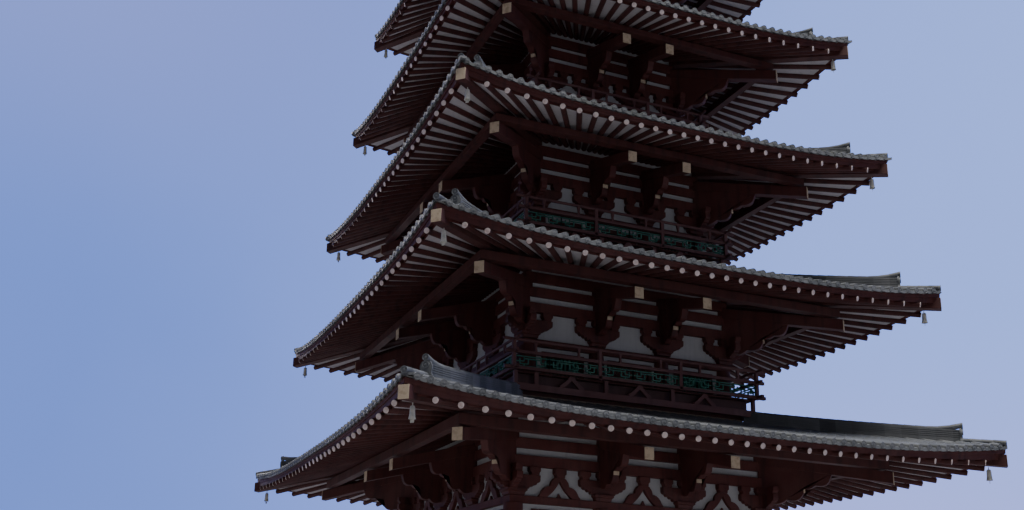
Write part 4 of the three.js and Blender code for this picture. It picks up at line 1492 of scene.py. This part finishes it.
@dataclass(frozen=True)
class Balcony:
    """A railed balcony on its strutted base."""

    storey: Storey
    below: Storey
    skirt_out: float = 0.305
    apron_out: float = 0.60
    panel_out: float = 0.42
    deck_out: float = 0.56
    deck_boards: int = 3
    rail_out: float = 0.64
    rail_round: float = 0.042
    post: float = 0.05
    bays: int = 3
    past: float = 0.3
    bar: float = 0.028
    cell: float = 0.56
    full: float = 0.96
    top_rail: float = 0.91
    mid_rail: Pair = (0.53, 0.62)
    lattice: Pair = (0.17, 0.46)
    low_rail: Pair = (0.08, 0.17)
    strut: Pair = (-0.27, 0.075)
    beam: Pair = (-0.46, -0.27)

    CELL_PLACES = (0, 0.25, 0.5, 0.75, 1)
    UPRIGHTS = ((0, 0, 1), (0.25, 0.26, 0.76), (0.5, 0, 0.26), (0.5, 0.5, 1), (0.75, 0.26, 0.76))
    LEVELS = ((0.25, 0.75, 0.26), (0, 0.5, 0.5), (0.5, 1, 0.76))

    @property
    def line(self) -> float:
        """The distance from the axis to the middle of the railing."""
        return self.storey.face + self.rail_out

    def over(self, height: float) -> float:
        """Returns a height over the floor, given as it is on the tallest railing."""
        return self.storey.floor + height * self.storey.rail / self.full

    def level(self, shape: Shape, out: float, heights: Pair, thick: float, past: float) -> tuple[Pair, Pair]:
        """Adds a level rail along one side.

        Args:
            shape: What it goes into.
            out: The distance from the axis to its middle.
            heights: Its bottom and top.
            thick: Its thickness.
            past: How far it runs past the crossing rail.

        Returns:
            The limits of its painted ends in Y and in Z.
        """
        depth = (-out - thick / 2, -out + thick / 2)
        shape.box((-out - past, out + past), depth, heights)
        return (depth[0] + 0.002, depth[1] - 0.002), (heights[0] + 0.002, heights[1] - 0.002)

    def railing(self, shape: Shape, ends: Shape) -> None:
        """Adds one side of the railing: a round top rail, two flat ones, posts and small blocks.

        Args:
            shape: What it goes into.
            ends: What the rails' painted ends go into.
        """
        out, radius, half = self.line, self.rail_round, self.post
        reach, middle = out + self.past, self.over(self.top_rail)
        shape.rod((-reach, -out, middle), (reach, -out, middle), radius, 12)
        for side in (-1, 1):
            tip = side * (reach + 0.012)
            ends.rod((side * reach, -out, middle), (tip, -out, middle), radius * 0.94, 12)
        mid, low = (tuple(self.over(z) for z in rail) for rail in (self.mid_rail, self.low_rail))
        for heights, thick, past in ((mid, 0.085, self.past * 0.8), (low, 0.1, self.past * 0.9)):
            inset = self.level(shape, out, heights, thick, past)
            for side in (-1, 1):
                ends.box((side * (out + past), side * (out + past + 0.01)), *inset)
        for i in range(self.bays):
            x = -out + i * 2 * out / self.bays
            shape.box((x - half, x + half), (-out - half, -out + half), (low[0] - 0.02, middle))
        foot, head = mid[1] - 0.005, middle - radius + 0.01
        waist = foot + 0.4 * (head - foot)
        for i in range(2 * self.bays):
            x = -out + (i + 0.5) * out / self.bays
            block = [(x - 0.04, foot), (x + 0.04, foot), (x + 0.022, waist)]
            block += [(x + 0.05, head), (x - 0.05, head), (x - 0.022, waist)]
            shape.plate(block, (-0.035, 0.035), lambda a, z, d: (a, -out + d, z))

    def fret(self, shape: Shape) -> None:
        """Adds the green lattice under one side's middle rail, a running key pattern."""
        out, half = self.line, self.bar / 2
        low, high = (self.over(z) for z in self.lattice)
        depth = (-out - 0.018, -out + 0.018)
        inset = (depth[0] + 0.003, depth[1] - 0.003)
        span = 2 * out / self.bays
        cells = max(2, round(span / self.cell))
        width = (span - 0.1) / cells

        def upright(x: float, first: float, last: float) -> None:
            """Adds an upright bar between two shares of the height."""
            shape.box((x - half, x + half), depth, (low + first * (high - low), low + last * (high - low)))

        def across(first: float, last: float, share: float) -> None:
            """Adds a level bar at a share of the height."""
            z = low + share * (high - low)
            shape.box((first, last), inset, (z - half, z + half))

        for panel in range(self.bays):
            start = -out + panel * span + 0.05
            for share in (0.03, 0.97):
                across(start, start + span - 0.1, share)
            for cell in range(cells):
                left = start + cell * width
                at = {share: left + width * (1 - share if cell % 2 else share) for share in self.CELL_PLACES}
                for share, first, last in self.UPRIGHTS:
                    upright(at[share], first, last)
                for first, last, share in self.LEVELS:
                    across(at[first], at[last], share)
            upright(start + span - 0.1, 0.0, 1.0)

    def base(self, shape: Shape, panels: Shape, skirt: Shape) -> None:
        """Adds one side of the base: a beam, inverted-V struts before boards in painted shade, and the skirt
        behind.

        Args:
            shape: What the timbers go into.
            panels: What the boards behind the struts go into.
            skirt: What the boards down to the roof go into.
        """
        storey = self.storey
        out, face = storey.face + self.apron_out, storey.face
        low, high = (storey.floor + z for z in self.strut)
        self.level(shape, out - 0.05, tuple(storey.floor + z for z in self.beam), 0.10, 0.0)
        roof = self.below.hip + self.below.WALL_RISE - 0.05
        panels.mitred(oblong(face + self.panel_out - 0.03, face + self.panel_out, low, high))
        skirt.mitred(oblong(face + self.skirt_out - 0.06, face + self.skirt_out, roof, high))
        for x in storey.columns[:-1]:
            shape.box((x - 0.06, x + 0.06), (-out, -out + 0.08), (low - 0.005, high))
        shape.box((out - 0.10, out), (-out, -out + 0.1), (low - 0.005, high))
        half = min(0.36, 0.24 * storey.bay)
        right = lobes((0.05, high), ((half, low + 0.05), 0.05, 5))
        right += [(half, low), (0.62 * half, low), (0.0, high - 0.38 * (high - low))]
        for x in (-storey.bay, 0.0, storey.bay):
            shape.plate(mirrored(right, x), (0.0, -0.08), lambda a, z, d: (a, -out - d, z))

    def deck(self, shape: Shape) -> None:
        """Adds one side of the deck boards."""
        storey = self.storey
        inner = storey.face - 0.02
        width = (storey.face + self.deck_out - inner) / self.deck_boards
        for i in range(self.deck_boards):
            near, far = inner + i * width + 0.004, inner + (i + 1) * width - 0.004
            shape.mitred(oblong(near, far, storey.floor + 0.02, storey.floor + 0.078))

    def build(self) -> None:
        """Builds the balcony in place of its plain solid."""
        number = self.storey.number
        rails, lattice, panels, skirt, boards, ends = (Shape() for _ in range(6))
        self.railing(rails, ends)
        self.fret(lattice)
        self.base(rails, panels, skirt)
        self.deck(boards)
        nodes = [f"balcony_{number}"]
        # The rails take the lighter red: partly bleached paint, partly painted highlight.
        rails.around().piece(f"balcony_rails_{number}", BLEACHED_AND_LIT_RED, Slot.VERMILION, nodes, 0.005)
        lattice.around().piece(f"balcony_lattice_{number}", GREEN, Slot.GREEN)
        # The boards behind the struts take the darker red as painted shade.
        panels.around().piece(f"balcony_panels_{number}", SHADED_RED, Slot.VERMILION)
        skirt.around().piece(f"balcony_skirt_{number}", DOOR_RED, Slot.VERMILION)
        boards.around().piece(f"balcony_deck_{number}", RAFTER_RED, Slot.RAFTERS, bevel=0.004)
        ends.around().piece(f"rail_ends_{number}", DOOR_RED, Slot.VERMILION)


@dataclass(frozen=True)
class Spire:
    """The bronze spire: square basin, bowl, lotus, nine rings on a shaft, flame and jewels."""

    panel: float = 0.48
    petals: int = 16
    rings: int = 9
    spokes: int = 8
    shaft: float = 0.105
    first: float = 0.80
    pitch: float = 0.64
    widest: float = 0.83
    narrowest: float = 0.56
    tall: float = 0.15

    def basin(self) -> None:
        """Builds the dew basin with its lip, foot and sunk panels."""
        low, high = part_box("dew_basin")
        half = high.x - BASIN_LIP
        profile = [(half, low.z), (half, low.z + 0.10), (half - 0.05, low.z + 0.14)]
        profile += [(half - 0.05, high.z - 0.20), (half, high.z - 0.15), (high.x, high.z - 0.12)]
        profile += [(high.x, high.z - 0.02), (high.x - 0.03, high.z)]
        shape, side = Shape(), Shape()
        shape.loft([square(r, z) for r, z in profile])
        for x in (-self.panel, 0.0, self.panel):
            side.box((x - 0.04, x + 0.04), (-half - 0.005, -half + 0.06), (low.z + 0.12, high.z - 0.17))
        shape.join(side.around())
        shape.piece("dressed_basin", BRONZE, Slot.BRONZE, ["dew_basin"], 0.012)

    def bowl(self) -> None:
        """Builds the inverted bowl with bands, and the open lotus over it."""
        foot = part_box("inverted_bowl")[0].z
        profile = [(0.01, foot), (0.64, foot), (0.64, foot + 0.05), *dome(0.62, 0.47, foot + 0.05, 6, 72, 9)]
        profile += [(0.19, foot + 0.53), (0.17, foot + 0.60), (0.24, foot + 0.66), (0.40, foot + 0.72)]
        profile += [(0.44, foot + 0.78), (0.30, foot + 0.80), (0.01, foot + 0.80)]
        shape = Shape()
        shape.turn(profile, 48)
        for i in range(self.petals):
            self.petal(shape, 2 * math.pi * i / self.petals, foot + 0.68)
        shape.piece("dressed_bowl", BRONZE, Slot.BRONZE, ["inverted_bowl"])

    def petal(self, shape: Shape, turn: float, foot: float) -> None:
        """Adds one lotus petal in a direction given in radians, from the height of its foot."""
        x, y = math.cos(turn), math.sin(turn)
        rings = []
        for share in np.linspace(0, 1, 6):
            out = 0.26 + 0.28 * share**0.8
            z = foot + 0.235 * share**1.5
            half = 0.085 * math.sin(math.pi * (0.18 + 0.80 * share)) + 0.004
            section = ((-half, 0.0), (0.0, -0.02), (half, 0.0), (0.0, 0.012))
            rings.append([(out * x - a * y, out * y + a * x, z + b) for a, b in section])
        shape.loft(rings, smooth=True)

    def ring_stack(self) -> None:
        """Builds the shaft and its rings, each with a rim, a hub, spokes and small bells."""
        low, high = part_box("ring_shaft")
        shape = Shape()
        shape.turn([(0.01, low.z), (self.shaft, low.z), (self.shaft * 0.8, high.z), (0.01, high.z)], 20)
        for i in range(self.rings):
            radius = self.widest + (self.narrowest - self.widest) * i / (self.rings - 1)
            self.ring(shape, radius, low.z + self.first + i * self.pitch)
        shape.piece("dressed_rings", BRONZE, Slot.BRONZE, ["ring_shaft"])

    def ring(self, shape: Shape, radius: float, z: float) -> None:
        """Adds one ring of a radius, from the height of its foot."""
        tall, hub = self.tall, self.shaft * 1.9
        section = [(radius, z + 0.02), (radius, z + tall - 0.02), (radius - 0.02, z + tall)]
        section += [(radius - 0.05, z + tall), (radius - 0.06, z + 0.09), (radius - 0.06, z + 0.06)]
        section += [(radius - 0.05, z), (radius - 0.02, z)]
        turns = np.arange(49) * 2 * math.pi / 48
        rings = [[(r * math.cos(a), r * math.sin(a), h) for r, h in section] for a in turns]
        shape.loft(rings, smooth=True, caps=False)
        shape.turn([(0.05, z - 0.04), (hub, z - 0.02), (hub, z + tall + 0.02), (0.05, z + tall + 0.04)], 20)
        bell = [(0.004, z - 0.005), (0.014, z - 0.02), (0.022, z - 0.03)]
        bell += [(0.028, z - 0.09), (0.004, z - 0.09)]
        for spoke in range(self.spokes):
            turn = 2 * math.pi * spoke / self.spokes
            x, y = math.cos(turn), math.sin(turn)
            start, end = ((out * x, out * y, z + tall / 2) for out in (hub * 0.9, radius - 0.05))
            shape.beam(start, end, 0.04, 0.07)
            shape.turn(bell, 8, (radius * x * 0.965, radius * y * 0.965))

    def flame(self) -> None:
        """Builds the openwork flame: four plates of curling tongues about the shaft."""
        low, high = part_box("water_flame")
        tall = high.z - low.z
        side = Shape()

        def at(t: float, z: float, across: float) -> Point:
            """Returns a point of a plate that stands out along -Y."""
            return (across, -t, z)

        tongues = [(0.04, 0.40, 0.20), (0.20, 0.52, 0.22), (0.38, 0.50, 0.20)]
        tongues += [(0.54, 0.42, 0.18), (0.69, 0.32, 0.16)]
        for start, out, rise in tongues:
            z, up = low.z + start * tall, rise * tall
            back = ((out - 0.20, z + 0.62 * up), 0.35, 4)
            tongue = lobes((0.08, z), ((out, z + 0.45 * up), 0.28, 6), ((out - 0.10, z + 1.25 * up), 0.10, 5))
            tongue += lobes((out - 0.12, z + 0.95 * up), back, ((0.08, z + 0.45 * up), -0.18, 4))[:-1]
            side.plate(tongue, (-0.014, 0.014), at)
        stem = [(0.07, low.z + 0.02), (0.13, low.z + 0.06), (0.10, high.z - 0.10), (0.07, high.z)]
        side.plate(stem, (-0.02, 0.02), at)
        whole = side.around()
        whole.turn([(0.08, low.z), (0.15, low.z + 0.02), (0.15, low.z + 0.14), (0.08, low.z + 0.18)], 20)
        whole.piece("dressed_flame", BRONZE, Slot.BRONZE, ["water_flame"], 0.004)

    def jewels(self) -> None:
        """Builds the two jewels at the top."""
        low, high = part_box("jewels")
        foot = low.z
        profile = [(0.005, foot), (0.15, foot), (0.16, foot + 0.03), (0.11, foot + 0.08)]
        profile += dome(0.27, 0.25, foot + 0.33, -62, 66, 11)
        profile += [(0.10, foot + 0.585), (0.16, foot + 0.62), (0.10, foot + 0.65)]
        profile += dome(0.24, 0.22, foot + 0.86, -60, 42, 9)
        profile += [(0.10, foot + 1.07), (0.05, foot + 1.14), (0.02, high.z - 0.04), (0.004, high.z)]
        shape = Shape()
        shape.turn(profile, 32)
        shape.piece("dressed_jewels", BRONZE, Slot.BRONZE, ["jewels"])

    def build(self) -> None:
        """Builds the whole spire in place of its plain solids."""
        self.basin()
        self.bowl()
        self.ring_stack()
        self.flame()
        self.jewels()


@dataclass(frozen=True)
class Lamp:
    """A round soft light: its name, place, width, watts and colour."""

    name: str
    place: Point
    size: float
    power: float
    colour: Colour


LAMPS = (
    Lamp("key_light", (6.0, -30.0, 92.0), 40.0, 90000.0, (1.0, 0.97, 0.93)),
    Lamp("fill_light", (30.0, -56.0, 22.0), 44.0, 1000.0, (1.0, 0.95, 0.92)),
    Lamp("back_light", (-14.0, 64.0, 40.0), 40.0, 34000.0, (1.0, 0.90, 0.78)),
)


@dataclass(frozen=True)
class Studio:
    """A pale floor, a pale sky, soft lights, and a camera at eye height before the tower."""

    place: Point = (-14.85, -28.91, 1.60)
    yaw: float = 20.39
    pitch: float = 14.88
    roll: float = 1.84
    lens: float = 36.95
    sensor: float = 36.0
    reach: float = 1000.0
    shift: Pair = (0.0547, 0.1038)
    aim: float = 14.0
    sky_left: Colour = (0.19, 0.32, 0.98)
    sky_right: Colour = (0.40, 0.60, 1.46)
    haze: Colour = (0.56, 0.60, 1.38)
    sky_front: Colour = (0.055, 0.058, 0.074)
    zenith: Colour = (0.48, 0.51, 0.62)
    bright_side: Point = (0.50, 0.86, 0.0)
    veil: Colour = (0.28, 0.38, 1.0)
    floor: Colour = (0.34, 0.33, 0.32)
    floor_radius: float = 160.0

    def camera(self) -> None:
        """Adds the camera."""
        yaw, pitch, roll = (math.radians(angle) for angle in (self.yaw, self.pitch, self.roll))
        ahead = Vector((math.cos(pitch) * math.sin(yaw), math.cos(pitch) * math.cos(yaw), math.sin(pitch)))
        right = Vector((math.cos(yaw), -math.sin(yaw), 0))
        up = right.cross(ahead)
        leaned = math.cos(roll) * right + math.sin(roll) * up
        above = math.cos(roll) * up - math.sin(roll) * right
        data = bpy.data.cameras.new("camera")
        data.lens = self.lens
        data.sensor_width = self.sensor
        data.shift_x, data.shift_y = self.shift
        data.clip_end = self.reach
        camera = bpy.data.objects.new("camera", data)
        turn = Matrix((leaned, above, -ahead)).transposed()
        camera.matrix_world = Matrix.Translation(self.place) @ turn.to_4x4()
        bpy.context.scene.collection.objects.link(camera)
        bpy.context.scene.camera = camera

    def light(self, lamp: Lamp) -> None:
        """Adds one soft light that looks at the middle of the tower."""
        data = bpy.data.lights.new(lamp.name, "AREA")
        data.shape = "DISK"
        data.size = lamp.size
        data.energy = lamp.power
        data.color = lamp.colour
        light = bpy.data.objects.new(lamp.name, data)
        light.location = lamp.place
        way = Vector((0, 0, self.aim)) - Vector(lamp.place)
        light.rotation_euler = way.to_track_quat("-Z", "Y").to_euler()
        bpy.context.scene.collection.objects.link(light)

    def sky(self) -> None:
        """Adds the sky: bright behind the tower and overhead, and dim before it."""
        graph = Graph.of_world("sky")
        way = graph.node("ShaderNodeTexCoord").outputs["Generated"]
        across, _, height = graph.parts(way)
        dot = {"operation": "DOT_PRODUCT"}
        toward = graph.node("ShaderNodeVectorMath", dot, {0: way, 1: self.bright_side})
        side = Signal(graph, toward.outputs["Value"]).ramp(-0.25, 0.35)
        clouds = graph.noise(way, 2.4, 4)
        behind = graph.mix(across.ramp(-0.10, 0.80) + (clouds - 0.5) * 0.35, self.sky_left, self.sky_right)
        behind = graph.mix((1.0 - height.ramp(-0.02, 0.30)) * across.ramp(0.1, 0.7), behind, self.haze)
        behind = graph.mix(height.ramp(0.30, 0.56) * (1.0 - across.ramp(0.0, 0.5)), behind, self.veil)
        around = graph.mix(side, self.sky_front, behind)
        graph.feed(graph.shader.inputs["Color"], graph.mix(height.ramp(0.72, 0.95), around, self.zenith))

    def build(self) -> None:
        """Adds the floor, the sky, the lights and the camera."""
        bpy.ops.mesh.primitive_circle_add(vertices=64, radius=self.floor_radius, fill_type="NGON")
        floor = bpy.context.object
        floor.name = "studio_floor"
        graph = Graph("studio_floor")
        graph.close(self.floor, 0.9, graph.noise(graph.place(), 0.5), 0.001)
        floor.data.materials.append(graph.material)
        self.sky()
        for lamp in LAMPS:
            self.light(lamp)
        self.camera()


def dress_node(name: str, finish: Finish) -> None:
    """Gives a CAD node its finish."""
    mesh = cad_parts[name].data
    mesh.materials.clear()
    mesh.materials.append(finish.material())


def dress_walls() -> None:
    """Gives the plaster walls and the floors their finishes."""
    for side in SIDE_NAMES:
        dress_node(f"{side}_wall", PLASTER)
    for number in range(2, STOREY_COUNT + 1):
        dress_node(f"walls_{number}", PLASTER)
        dress_node(f"floor_{number}", FLOOR_PLANKS)


def main() -> None:
    """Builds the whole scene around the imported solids."""
    logging.basicConfig(level=logging.INFO, format="%(name)s: %(message)s")
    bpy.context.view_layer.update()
    Studio().build()
    columns = (0.290, 0.265, 0.245, 0.225, 0.205)
    purlins = (6.22, 5.50, 4.95, 4.45, 4.05)
    rafters = (32, 29, 26, 23, 20)
    storeys = [Storey.read(i + 1, columns[i], purlins[i], rafters[i]) for i in range(STOREY_COUNT)]
    Podium().build(storeys[0])
    dress_walls()
    for index, storey in enumerate(storeys):
        Timbers(storey).build()
        Openings(storey).build()
        Eaves(storey).build()
        TiledRoof(storey).build()
        if index:
            Balcony(storey, storeys[index - 1]).build()
    Spire().build()


if __name__ == "__main__":
    main()
